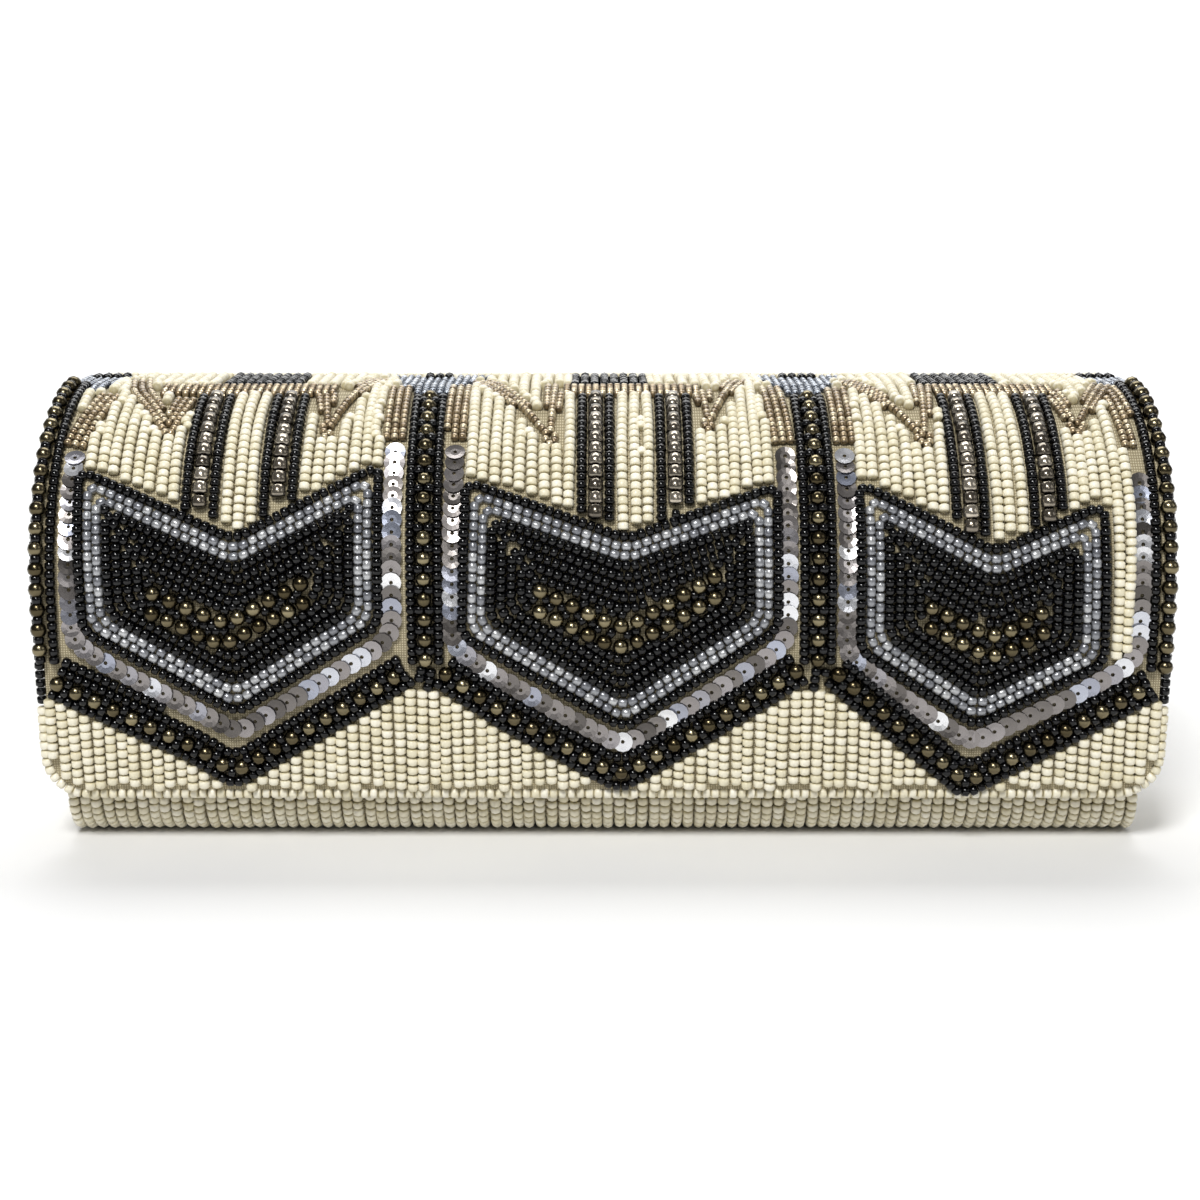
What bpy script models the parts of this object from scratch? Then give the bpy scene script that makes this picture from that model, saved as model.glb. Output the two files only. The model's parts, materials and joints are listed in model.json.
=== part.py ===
"""Flap clutch purse: a board-stiffened case, beaded outside and satin inside, closed by a curved beaded flap.

Metres, +Z up, X along the width, the flap's front faces -Y. The origin is the middle of the overall box on
the surface that the purse stands on. The section of the flap is a straight top, a large round and a slightly
bowed front, and every layer of flap and case is that one outline, set in by its own depth.
"""

import math

import bmesh
import bpy
from mathutils import Matrix, Vector

# ---- overall sizes -------------------------------------------------------------------------------
FLAP_WIDTH = 0.229          # over the bead edging
CASE_WIDTH = 0.222          # over the two beaded ends
DEPTH = 0.056               # front of the flap to the back
HEIGHT = 0.0925             # standing surface to the highest point of the flap

# ---- the flap's outer section --------------------------------------------------------------------
ROUND_RADIUS = 0.040        # top front round
BOW_RADIUS = 0.440          # gentle bow of the front
TOP_SLOPE = math.radians(2.0)   # the top falls a little towards the front
FLAP_EDGE_HEIGHT = 0.0095   # lower edge of the flap above the standing surface
FLAP_CORNER = 0.009         # rounded lower corners

# ---- cloth, board and bead layers ----------------------------------------------------------------
GAP = 0.0003                # between touching pieces
BEAD_CLOTH = 0.0020         # embroidered cloth with its beads
FLAP_BOARD = 0.0012
FLAP_LINING = 0.0004
CASE_CLEARANCE = 0.0005     # flap lining to the case's beadwork
FRONT_COVER = 0.0005        # satin over the front board
FRONT_BOARD = 0.0012
BASE_BOARD = 0.0020         # bottom and back boards
END_BOARD = 0.0012
LINING = 0.0005

# ---- the case ------------------------------------------------------------------------------------
CASE_CORNER = 0.008         # rounded lower edges, front and back
FRONT_TOP = 0.060           # top of the front panel
BEAD_STRIP_TOP = 0.024      # top of the beadwork on the case's front
BINDING = 0.0018            # thickness of the edge bindings
POCKET_WIDTH = 0.120
POCKET_TOP = 0.055
POCKET_CLOTH = 0.0006
POCKET_FLOOR_GAP = 0.003    # pocket above the lining's floor

# ---- the fold that hinges the flap ---------------------------------------------------------------
FOLD_ROLL_RADIUS = 0.0015
FOLD_AXIS_INSET = 0.0018    # axis in from the back face and down from the top

# ---- edging and magnetic snap --------------------------------------------------------------------
EDGING_RADIUS = 0.0009
SNAP_HEIGHT = 0.036         # middle of the snap above the standing surface
SNAP_RADIUS = 0.0070
SOCKET_BORE = 0.0034
STUD_THICKNESS = 0.0007
STUD_NUB_RADIUS = 0.0022
STUD_NUB_HEIGHT = 0.0008
PLATE_RADIUS = 0.0066
PLATE_THICKNESS = 0.0008

ROUND_STEPS = 20
BOW_STEPS = 12
CORNER_STEPS = 8
TURN_STEPS = 40

# ---- places worked out from the sizes ------------------------------------------------------------
FRONT_Y = -DEPTH / 2
BACK_Y = DEPTH / 2
FOLD_Y = BACK_Y - FOLD_AXIS_INSET
FOLD_Z = HEIGHT - FOLD_AXIS_INSET
FLAP_REAR_Y = FOLD_Y - FOLD_ROLL_RADIUS - GAP       # where the stiff part of the flap begins
CASE_BACK_TOP = FOLD_Z - FOLD_ROLL_RADIUS - GAP     # where the back's beadwork ends

ROUND_Y = FRONT_Y + ROUND_RADIUS
TOP_LENGTH = (FLAP_REAR_Y - ROUND_Y + ROUND_RADIUS * math.sin(TOP_SLOPE)) / math.cos(TOP_SLOPE)
ROUND_Z = HEIGHT - TOP_LENGTH * math.sin(TOP_SLOPE) - ROUND_RADIUS * math.cos(TOP_SLOPE)
ROUND_LENGTH = ROUND_RADIUS * (math.pi / 2 - TOP_SLOPE)
BOW_Y = FRONT_Y + BOW_RADIUS
BOW_ANGLE = math.asin((ROUND_Z - FLAP_EDGE_HEIGHT) / BOW_RADIUS)
FLAP_LENGTH = TOP_LENGTH + ROUND_LENGTH + BOW_RADIUS * BOW_ANGLE

FLAP_BOARD_DEPTH = BEAD_CLOTH + GAP
FLAP_LINING_DEPTH = FLAP_BOARD_DEPTH + FLAP_BOARD + GAP
CASE_DEPTH = FLAP_LINING_DEPTH + FLAP_LINING + CASE_CLEARANCE   # case skin below the flap's outer face

COVER_INSET = BEAD_CLOTH + GAP                       # insets are from the case's outer skin
FRONT_BOARD_INSET = COVER_INSET + FRONT_COVER + GAP
LINING_INSET = FRONT_BOARD_INSET + FRONT_BOARD + GAP
SNAP_SPACE = CASE_CLEARANCE + COVER_INSET            # between the flap's lining and the front cover
SOCKET_THICKNESS = SNAP_SPACE - STUD_THICKNESS - 3 * GAP

FLAP_HALF = FLAP_WIDTH / 2 - 2 * EDGING_RADIUS - GAP
END_OUTER = CASE_WIDTH / 2
END_INNER = END_OUTER - BEAD_CLOTH
PANEL_HALF = END_INNER - GAP
END_BOARD_INNER = PANEL_HALF - END_BOARD
LINING_HALF = END_BOARD_INNER - GAP

PURSE = "clutch_purse"
CUTTERS = "cutters"


# ---- the section ---------------------------------------------------------------------------------
def flap_point(along, depth=0.0):
    """(y, z) on the flap's section, along from the fold to the lower edge, depth below the outer face."""
    if along <= TOP_LENGTH:
        y = FLAP_REAR_Y - along * math.cos(TOP_SLOPE) + depth * math.sin(TOP_SLOPE)
        z = HEIGHT - along * math.sin(TOP_SLOPE) - depth * math.cos(TOP_SLOPE)
        return y, z
    if along <= TOP_LENGTH + ROUND_LENGTH:
        turn = TOP_SLOPE + (along - TOP_LENGTH) / ROUND_RADIUS
        radius = ROUND_RADIUS - depth
        return ROUND_Y - radius * math.sin(turn), ROUND_Z + radius * math.cos(turn)
    turn = (along - TOP_LENGTH - ROUND_LENGTH) / BOW_RADIUS
    radius = BOW_RADIUS - depth
    return BOW_Y - radius * math.cos(turn), ROUND_Z - radius * math.sin(turn)


def flap_normal(along):
    """Outward direction (y, z) of the flap's face."""
    outer, inner = flap_point(along), flap_point(along, 0.001)
    return (outer[0] - inner[0]) / 0.001, (outer[1] - inner[1]) / 0.001


def along_at_height(z, depth=0.0):
    """Distance along the flap's round or front at which the layer at this depth is z high."""
    if z > ROUND_Z:
        turn = math.acos((z - ROUND_Z) / (ROUND_RADIUS - depth))
        return TOP_LENGTH + ROUND_RADIUS * (turn - TOP_SLOPE)
    turn = math.asin((ROUND_Z - z) / (BOW_RADIUS - depth))
    return TOP_LENGTH + ROUND_LENGTH + BOW_RADIUS * turn


def front_top_along():
    """Distance along the section of the front panel's top, the same for all its layers."""
    return along_at_height(FRONT_TOP, CASE_DEPTH)


def steps(low, high, count):
    return [low + (high - low) * i / count for i in range(count + 1)]


def flap_outline(depth, start, end):
    """The layer at this depth from start to end along the flap, with points at the same turns in all."""
    round_end = TOP_LENGTH + ROUND_LENGTH
    marks = steps(TOP_LENGTH, round_end, ROUND_STEPS)
    marks += [round_end + m for m in steps(0.0, BOW_RADIUS * BOW_ANGLE, BOW_STEPS)[1:]]
    inside = [m for m in sorted(set(marks)) if start + 1e-5 < m < end - 1e-5]
    return [flap_point(m, depth) for m in [start, *inside, end]]


def front_corner(inset):
    """Arc that turns the case's front into its bottom, from the front round to the bottom."""
    reach = BOW_RADIUS - CASE_DEPTH - CASE_CORNER
    drop = ROUND_Z - CASE_CORNER
    centre_y = BOW_Y - math.sqrt(reach ** 2 - drop ** 2)
    first = math.asin(drop / reach)
    radius = CASE_CORNER - inset
    return [
        (centre_y - radius * math.cos(a), CASE_CORNER - radius * math.sin(a))
        for a in steps(first, math.pi / 2, CORNER_STEPS)
    ]


def back_corner(inset):
    """Arc that turns the bottom into the back."""
    radius = CASE_CORNER - inset
    return [
        (BACK_Y - CASE_CORNER + radius * math.sin(a), CASE_CORNER - radius * math.cos(a))
        for a in steps(0.0, math.pi / 2, CORNER_STEPS)
    ]


def front_stretch(inset, high, bottom_point):
    """The case's front, from the distance high along the section down to the first point of the corner."""
    depth = CASE_DEPTH + inset
    return flap_outline(depth, high, along_at_height(bottom_point[1], depth))[:-1]


def case_outline(inset, front_top, back_top):
    """Front, bottom and back of the case at this inset, from front_top along the section to back_top."""
    corner = front_corner(inset)
    front = front_stretch(inset, front_top, corner[0])
    return front + corner + back_corner(inset) + [(BACK_Y - inset, back_top)]


def mouth_outline(inset):
    """The top of an end at this inset, under the flap's top and round, from back to front."""
    depth = CASE_DEPTH + inset
    back = BACK_Y - inset
    rear = (FLAP_REAR_Y - back) / math.cos(TOP_SLOPE) + depth * math.tan(TOP_SLOPE)
    return flap_outline(depth, rear, front_top_along())


def wall_outline(inset):
    """The case's sides at this inset, from the front panel's top round to where the back begins to rise."""
    corner = front_corner(inset)
    return front_stretch(inset, front_top_along(), corner[0]) + corner + back_corner(inset)


def end_outline(inset):
    """The whole closed outline of an end at this inset."""
    return mouth_outline(inset)[:-1] + wall_outline(inset)


# ---- building tools ------------------------------------------------------------------------------
def srgb(hex_colour):
    """sRGB hex to linear red, green, blue, alpha."""
    parts = [int(hex_colour[i : i + 2], 16) / 255 for i in (1, 3, 5)]
    linear = [c / 12.92 if c <= 0.04045 else ((c + 0.055) / 1.055) ** 2.4 for c in parts]
    return (*linear, 1.0)


def material(name, colour, roughness, metallic=0.0):
    made = bpy.data.materials.new(name)
    made.use_nodes = True
    shader = made.node_tree.nodes["Principled BSDF"]
    shader.inputs["Base Color"].default_value = srgb(colour)
    shader.inputs["Roughness"].default_value = roughness
    shader.inputs["Metallic"].default_value = metallic
    made.diffuse_color = srgb(colour)
    return made


def collection(name):
    made = bpy.data.collections.new(name)
    bpy.context.scene.collection.children.link(made)
    return made


def add_object(name, data, finish, folder=PURSE):
    made = bpy.data.objects.new(name, data)
    bpy.data.collections[folder].objects.link(made)
    if finish:
        data.materials.append(finish)
    return made


def mesh_of(name, shape):
    data = bpy.data.meshes.new(name)
    shape.to_mesh(data)
    shape.free()
    return data


def solidify(piece, thickness):
    wall = piece.modifiers.new("wall", "SOLIDIFY")
    wall.thickness = thickness
    wall.offset = -1.0
    wall.use_even_offset = True
    return wall


def bevel(piece, width, segments=2):
    edge = piece.modifiers.new("rounded_edges", "BEVEL")
    edge.width = width
    edge.segments = segments
    edge.limit_method = "ANGLE"
    edge.angle_limit = math.radians(50)
    return edge


def cut(piece, cutter, operation="DIFFERENCE"):
    step = piece.modifiers.new(cutter.name, "BOOLEAN")
    step.object = cutter
    step.operation = operation
    step.solver = "EXACT"


def hide_cutter(cutter):
    cutter.hide_render = True
    cutter.display_type = "WIRE"


def sheet(name, outline, x_low, x_high, thickness, finish):
    """Cloth or board: a section outline swept along X and given its wall inwards."""
    shape = bmesh.new()
    points = [shape.verts.new((x_low, y, z)) for y, z in outline]
    edges = [shape.edges.new(pair) for pair in zip(points, points[1:])]
    swept = bmesh.ops.extrude_edge_only(shape, edges=edges)["geom"]
    moved = [part for part in swept if isinstance(part, bmesh.types.BMVert)]
    bmesh.ops.translate(shape, verts=moved, vec=(x_high - x_low, 0, 0))
    shape.normal_update()
    # The outlines run with the outside on one hand, so the face at the first point tells which way it faces.
    (y0, z0), (y1, z1) = outline[0], outline[1]
    outward = Vector((0, z1 - z0, y0 - y1))
    if points[0].link_faces[0].normal.dot(outward) < 0:
        bmesh.ops.reverse_faces(shape, faces=shape.faces)
    piece = add_object(name, mesh_of(name, shape), finish)
    solidify(piece, thickness)
    return piece


def flat_plate(name, outline, x_low, x_high, finish):
    """A plate standing across X: its outline as a filled curve, extruded to its thickness."""
    curve = bpy.data.curves.new(name, "CURVE")
    curve.dimensions = "2D"
    curve.fill_mode = "BOTH"
    curve.extrude = (x_high - x_low) / 2
    line = curve.splines.new("POLY")
    line.points.add(len(outline) - 1)
    for point, (y, z) in zip(line.points, outline):
        point.co = (y, z, 0, 1)
    line.use_cyclic_u = True
    piece = add_object(name, curve, finish)
    piece.location.x = (x_low + x_high) / 2
    piece.rotation_euler = (math.pi / 2, 0, math.pi / 2)
    return piece


def box(name, low, high, finish, folder=PURSE):
    low, high = Vector(low), Vector(high)
    shape = bmesh.new()
    bmesh.ops.create_cube(shape, size=1.0)
    bmesh.ops.scale(shape, vec=high - low, verts=shape.verts)
    bmesh.ops.translate(shape, vec=(low + high) / 2, verts=shape.verts)
    return add_object(name, mesh_of(name, shape), finish, folder)


def snap_frame(depth):
    """Placement with +Z pointing out of the front at the snap's height and its origin at this depth."""
    along = along_at_height(SNAP_HEIGHT)
    y, z = flap_point(along, depth)
    out_y, out_z = flap_normal(along)
    outward = Vector((0, out_y, out_z))
    side = Vector((1, 0, 0))
    turned = Matrix((side, outward.cross(side), outward)).transposed().to_4x4()
    return Matrix.Translation((0, y, z)) @ turned


def turned_piece(name, profile, finish, place):
    """A profile of (radius, height) points, outer side from top to bottom, turned about its Z axis."""
    shape = bmesh.new()
    points = [shape.verts.new((r, 0, h)) for r, h in profile]
    for pair in zip(points, points[1:]):
        shape.edges.new(pair)
    piece = add_object(name, mesh_of(name, shape), finish)
    turn = piece.modifiers.new("turned", "SCREW")
    turn.steps = turn.render_steps = TURN_STEPS
    turn.use_merge_vertices = True
    turn.merge_threshold = 0.00001
    turn.use_normal_calculate = False
    piece.matrix_world = place
    return piece


def plug_cutter(name, radius, depth_low, depth_high):
    """A round plug through the layers between two depths at the snap."""
    shape = bmesh.new()
    length = depth_high - depth_low
    bmesh.ops.create_cone(
        shape, cap_ends=True, segments=TURN_STEPS, radius1=radius, radius2=radius, depth=length
    )
    cutter = add_object(name, mesh_of(name, shape), None, CUTTERS)
    cutter.matrix_world = snap_frame((depth_low + depth_high) / 2)
    hide_cutter(cutter)
    return cutter


# ---- the flap ------------------------------------------------------------------------------------
def flap_trim(name, margin):
    """Block whose lower corners round the flap's: everything inside it stays."""
    half = FLAP_HALF - margin
    low = FLAP_EDGE_HEIGHT + 2 * EDGING_RADIUS + GAP + margin
    radius = FLAP_CORNER - 2 * EDGING_RADIUS - GAP - margin
    reach = DEPTH
    outline = [(half, 2 * HEIGHT), (-half, 2 * HEIGHT)]
    outline += [
        (radius - half - radius * math.cos(a), low + radius - radius * math.sin(a))
        for a in steps(0.0, math.pi / 2, CORNER_STEPS)
    ]
    outline += [
        (half - radius + radius * math.sin(a), low + radius - radius * math.cos(a))
        for a in steps(0.0, math.pi / 2, CORNER_STEPS)
    ]
    shape = bmesh.new()
    face = shape.faces.new([shape.verts.new((x, -reach, z)) for x, z in outline])
    swept = bmesh.ops.extrude_face_region(shape, geom=[face])["geom"]
    moved = [part for part in swept if isinstance(part, bmesh.types.BMVert)]
    bmesh.ops.translate(shape, verts=moved, vec=(0, 2 * reach, 0))
    bmesh.ops.recalc_face_normals(shape, faces=shape.faces)
    cutter = add_object(name, mesh_of(name, shape), None, CUTTERS)
    hide_cutter(cutter)
    return cutter


def flap_layer(name, depth, thickness, finish, margin=0.0):
    """One layer of the flap, from the fold to the rounded lower edge."""
    half = FLAP_HALF + EDGING_RADIUS
    layer = sheet(name, flap_outline(depth, margin, FLAP_LENGTH), -half, half, thickness, finish)
    cut(layer, flap_trim(name + "_trim", margin), "INTERSECT")
    return layer


def edging_route():
    """Middle line of the bead edging: down one side, round the lower corner, along the edge and back up."""
    depth = EDGING_RADIUS * 2
    half = FLAP_WIDTH / 2 - EDGING_RADIUS
    bend = FLAP_CORNER - EDGING_RADIUS
    end = FLAP_LENGTH - EDGING_RADIUS
    side = [(-half, along) for along in steps(0.0, end - bend, ROUND_STEPS + BOW_STEPS)[:-1]]
    turn = [
        (bend - half - bend * math.cos(a), end - bend + bend * math.sin(a))
        for a in steps(0.0, math.pi / 2, CORNER_STEPS)
    ]
    route = side + turn
    route += [(-x, along) for x, along in reversed(route)]
    return [(x, *flap_point(along, depth)) for x, along in route]


def edging(finish):
    curve = bpy.data.curves.new("flap_edging", "CURVE")
    curve.dimensions = "3D"
    curve.bevel_depth = EDGING_RADIUS
    curve.bevel_resolution = 2
    curve.use_fill_caps = True
    line = curve.splines.new("POLY")
    route = edging_route()
    line.points.add(len(route) - 1)
    for point, place in zip(line.points, route):
        point.co = (*place, 1)
    return add_object("flap_edging", curve, finish)


def build_flap(finishes):
    pieces = [
        flap_layer("flap_bead_panel", 0.0, BEAD_CLOTH, finishes["ivory_beads"]),
        flap_layer("flap_board", FLAP_BOARD_DEPTH, FLAP_BOARD, finishes["board"]),
        flap_layer("flap_lining", FLAP_LINING_DEPTH, FLAP_LINING, finishes["satin"], GAP),
        edging(finishes["ivory_beads"]),
    ]
    plate_depth = FLAP_BOARD_DEPTH + (FLAP_BOARD - PLATE_THICKNESS) / 2 + PLATE_THICKNESS
    pocket = plug_cutter(
        "flap_plate_pocket", PLATE_RADIUS + GAP, FLAP_BOARD_DEPTH - GAP, FLAP_BOARD_DEPTH + FLAP_BOARD + GAP
    )
    cut(pieces[1], pocket)
    pieces.append(
        turned_piece(
            "snap_stud_plate",
            [(0, PLATE_THICKNESS), (PLATE_RADIUS, PLATE_THICKNESS), (PLATE_RADIUS, 0), (0, 0)],
            finishes["nickel"],
            snap_frame(plate_depth),
        )
    )
    stud_face = FLAP_LINING_DEPTH + FLAP_LINING + GAP
    inward = -STUD_THICKNESS
    tip = inward - STUD_NUB_HEIGHT
    rim = STUD_THICKNESS / 3
    profile = [
        (0, 0),
        (SNAP_RADIUS - rim, 0),
        (SNAP_RADIUS, -rim),
        (SNAP_RADIUS, inward),
        (STUD_NUB_RADIUS, inward),
        (STUD_NUB_RADIUS, tip + rim),
        (STUD_NUB_RADIUS - rim, tip),
        (0, tip),
    ]
    pieces.append(turned_piece("snap_stud", profile, finishes["nickel"], snap_frame(stud_face)))
    return pieces


# ---- the case ------------------------------------------------------------------------------------
def build_case_outside(finishes):
    skin = case_outline(0.0, along_at_height(BEAD_STRIP_TOP, CASE_DEPTH), CASE_BACK_TOP)
    sheet("case_bead_panel", skin, -END_OUTER, END_OUTER, BEAD_CLOTH, finishes["ivory_beads"])
    end = end_outline(COVER_INSET)
    flat_plate("left_end_bead_panel", end, -END_OUTER, -END_INNER, finishes["ivory_beads"])
    flat_plate("right_end_bead_panel", end, END_INNER, END_OUTER, finishes["ivory_beads"])
    cover = front_stretch(COVER_INSET, front_top_along(), front_corner(COVER_INSET)[0])
    sheet("front_cover", cover, -PANEL_HALF, PANEL_HALF, FRONT_COVER, finishes["satin"])


def build_boards(finishes):
    board = finishes["board"]
    line = front_stretch(FRONT_BOARD_INSET, front_top_along(), front_corner(FRONT_BOARD_INSET)[0])
    front = sheet("front_board", line, -PANEL_HALF, PANEL_HALF, FRONT_BOARD, board)
    low = CASE_DEPTH + FRONT_BOARD_INSET - GAP
    high = low + FRONT_BOARD + 2 * GAP
    cut(front, plug_cutter("case_plate_pocket", PLATE_RADIUS + GAP, low, high))
    base_front = front_corner(COVER_INSET)[-1][0]
    base_back = back_corner(COVER_INSET)[0][0]
    box(
        "bottom_board",
        (-PANEL_HALF, base_front, COVER_INSET),
        (PANEL_HALF, base_back, COVER_INSET + BASE_BOARD),
        board,
    )
    back_top = CASE_BACK_TOP - CASE_CLEARANCE - BEAD_CLOTH / 2
    box(
        "back_board",
        (-PANEL_HALF, BACK_Y - COVER_INSET - BASE_BOARD, CASE_CORNER),
        (PANEL_HALF, BACK_Y - COVER_INSET, back_top),
        board,
    )
    end = end_outline(LINING_INSET)
    flat_plate("left_end_board", end, -PANEL_HALF, -END_BOARD_INNER, board)
    flat_plate("right_end_board", end, END_BOARD_INNER, PANEL_HALF, board)
    return back_top


def lining_pouch(finish):
    """Sewn satin pouch: two ends joined by the front, bottom and back walls, open under the flap's top."""
    mouth = mouth_outline(LINING_INSET)[1:-1]
    walls = wall_outline(LINING_INSET) + [mouth_outline(LINING_INSET)[0]]
    shape = bmesh.new()
    chains = []
    for x in (-LINING_HALF, LINING_HALF):
        wall_points = [shape.verts.new((x, y, z)) for y, z in walls]
        mouth_points = [shape.verts.new((x, y, z)) for y, z in mouth]
        shape.faces.new(wall_points + mouth_points)
        chains += [shape.edges.get(pair) for pair in zip(wall_points, wall_points[1:])]
    bmesh.ops.bridge_loops(shape, edges=chains)
    bmesh.ops.recalc_face_normals(shape, faces=shape.faces)
    bottom = min(shape.faces, key=lambda face: face.calc_center_median().z)
    if bottom.normal.z > 0:
        bmesh.ops.reverse_faces(shape, faces=shape.faces)
    piece = add_object("lining_pouch", mesh_of("lining_pouch", shape), finish)
    solidify(piece, LINING)
    return walls[-1][1]


def build_inside(finishes, back_board_top):
    satin = finishes["satin"]
    pouch_back_top = lining_pouch(satin)
    back = BACK_Y - LINING_INSET
    facing_low = pouch_back_top + GAP
    box("back_facing", (-LINING_HALF, back - LINING, facing_low), (LINING_HALF, back, back_board_top), satin)
    pocket_back = back - LINING - GAP
    pocket_low = LINING_INSET + LINING + POCKET_FLOOR_GAP
    box(
        "slip_pocket",
        (-POCKET_WIDTH / 2, pocket_back - POCKET_CLOTH, pocket_low),
        (POCKET_WIDTH / 2, pocket_back, POCKET_TOP),
        satin,
    )
    trim = box(
        "pocket_binding",
        (-POCKET_WIDTH / 2, pocket_back - 2 * POCKET_CLOTH, POCKET_TOP + GAP),
        (POCKET_WIDTH / 2, pocket_back, POCKET_TOP + GAP + BINDING),
        satin,
    )
    bevel(trim, POCKET_CLOTH / 2)


def build_bindings(finishes):
    satin = finishes["satin"]
    depth = CASE_DEPTH + COVER_INSET
    front_low = front_top_along() - GAP
    width = FRONT_COVER + FRONT_BOARD + LINING + 2 * GAP
    line = [flap_point(front_low - BINDING, depth), flap_point(front_low, depth)]
    half = LINING_HALF - LINING - GAP
    trim = sheet("front_binding", line, -half, half, width, satin)
    bevel(trim, BINDING / 4)
    end_depth = depth - GAP - BINDING
    rear = BEAD_CLOTH
    line = flap_outline(end_depth, rear, front_top_along())
    inner = LINING_HALF - LINING
    sheet("left_end_binding", line, -END_OUTER, -inner, BINDING, satin)
    sheet("right_end_binding", line, inner, END_OUTER, BINDING, satin)


def build_snap_socket(finishes):
    nickel = finishes["nickel"]
    base = CASE_DEPTH + COVER_INSET - GAP
    rim = SOCKET_THICKNESS / 4
    floor = SOCKET_THICKNESS / 4
    profile = [
        (0, floor),
        (SOCKET_BORE, floor),
        (SOCKET_BORE, SOCKET_THICKNESS - rim),
        (SOCKET_BORE + rim, SOCKET_THICKNESS),
        (SNAP_RADIUS - rim, SOCKET_THICKNESS),
        (SNAP_RADIUS, SOCKET_THICKNESS - rim),
        (SNAP_RADIUS, 0),
        (0, 0),
    ]
    turned_piece("snap_socket", profile, nickel, snap_frame(base))
    depth = CASE_DEPTH + FRONT_BOARD_INSET + (FRONT_BOARD - PLATE_THICKNESS) / 2 + PLATE_THICKNESS
    profile = [(0, PLATE_THICKNESS), (PLATE_RADIUS, PLATE_THICKNESS), (PLATE_RADIUS, 0), (0, 0)]
    turned_piece("snap_socket_plate", profile, nickel, snap_frame(depth))


def build_fold(finishes):
    """Rolled cloth along the hinge line, round about the axis that the flap turns on."""
    shape = bmesh.new()
    length = 2 * FLAP_HALF
    bmesh.ops.create_cone(
        shape,
        cap_ends=True,
        segments=16,
        radius1=FOLD_ROLL_RADIUS,
        radius2=FOLD_ROLL_RADIUS,
        depth=length,
        matrix=Matrix.Rotation(math.pi / 2, 4, "Y"),
    )
    roll = add_object("fold_roll", mesh_of("fold_roll", shape), finishes["ivory_cloth"])
    roll.location = (0, FOLD_Y, FOLD_Z)
    roll.data.shade_smooth()
    return roll


def hang_flap(pieces):
    """The flap's pieces hang from an empty on the fold's axis, so that turning it about X opens the purse."""
    hinge = bpy.data.objects.new("flap_hinge", None)
    bpy.data.collections[PURSE].objects.link(hinge)
    hinge.location = (0, FOLD_Y, FOLD_Z)
    hinge.empty_display_size = 0.01
    bpy.context.view_layer.update()
    for piece in pieces:
        piece.parent = hinge
        piece.matrix_parent_inverse = hinge.matrix_world.inverted()


def main():
    for old in list(bpy.data.objects):
        bpy.data.objects.remove(old, do_unlink=True)
    collection(PURSE)
    collection(CUTTERS)
    finishes = {
        "ivory_beads": material("ivory_glass_beads", "#E9E4CB", 0.35),
        "ivory_cloth": material("ivory_ground_cloth", "#D9CFAF", 0.8),
        "satin": material("champagne_satin", "#D6C9A6", 0.45),
        "board": material("grey_bookboard", "#8E8674", 0.9),
        "nickel": material("nickel_plate", "#C9C7C0", 0.25, 1.0),
    }
    flap_pieces = build_flap(finishes)
    build_case_outside(finishes)
    back_board_top = build_boards(finishes)
    build_inside(finishes, back_board_top)
    build_bindings(finishes)
    build_snap_socket(finishes)
    build_fold(finishes)
    hang_flap(flap_pieces)


main()
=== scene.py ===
# %% [markdown]
# # A beaded flap clutch, one bead at a time
#
# The purse is a stiff case of bookboard, covered with hand-beaded cloth and lined with satin, and a curved
# flap that folds back over the top. The frame that this script loads holds the boards, the snap and the
# plain solids of every layer, already jointed. Here the plain layers are dressed: cloth, satin, stitching
# and some sixteen thousand glass beads, each a real turned shape.

import json
import math
import random

import bmesh
import bpy
import numpy as np
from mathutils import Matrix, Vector, geometry, kdtree, noise


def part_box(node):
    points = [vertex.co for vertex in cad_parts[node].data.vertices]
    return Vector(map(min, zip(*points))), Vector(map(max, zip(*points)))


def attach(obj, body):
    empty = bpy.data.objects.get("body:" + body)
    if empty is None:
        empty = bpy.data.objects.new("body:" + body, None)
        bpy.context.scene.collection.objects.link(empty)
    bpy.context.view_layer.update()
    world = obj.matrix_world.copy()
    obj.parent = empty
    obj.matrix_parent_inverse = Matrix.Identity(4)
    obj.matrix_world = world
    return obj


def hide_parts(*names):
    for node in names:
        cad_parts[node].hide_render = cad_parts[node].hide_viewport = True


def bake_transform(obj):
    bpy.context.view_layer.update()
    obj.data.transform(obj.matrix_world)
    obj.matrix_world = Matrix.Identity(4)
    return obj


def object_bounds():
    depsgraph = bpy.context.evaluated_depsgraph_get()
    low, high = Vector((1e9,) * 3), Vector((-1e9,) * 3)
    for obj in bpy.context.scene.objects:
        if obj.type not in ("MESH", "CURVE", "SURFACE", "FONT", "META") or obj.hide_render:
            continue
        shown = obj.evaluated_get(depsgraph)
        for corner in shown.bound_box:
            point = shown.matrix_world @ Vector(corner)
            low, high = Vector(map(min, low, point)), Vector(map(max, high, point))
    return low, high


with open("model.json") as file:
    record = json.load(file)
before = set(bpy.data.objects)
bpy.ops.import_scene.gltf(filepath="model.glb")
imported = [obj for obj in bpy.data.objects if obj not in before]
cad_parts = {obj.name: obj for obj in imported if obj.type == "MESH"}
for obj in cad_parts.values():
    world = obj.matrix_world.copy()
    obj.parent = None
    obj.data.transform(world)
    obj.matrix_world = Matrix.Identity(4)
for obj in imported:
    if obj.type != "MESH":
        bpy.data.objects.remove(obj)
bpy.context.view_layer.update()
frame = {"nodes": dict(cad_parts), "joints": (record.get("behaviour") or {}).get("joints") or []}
NODES = frame["nodes"]
MM = 0.001

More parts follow.
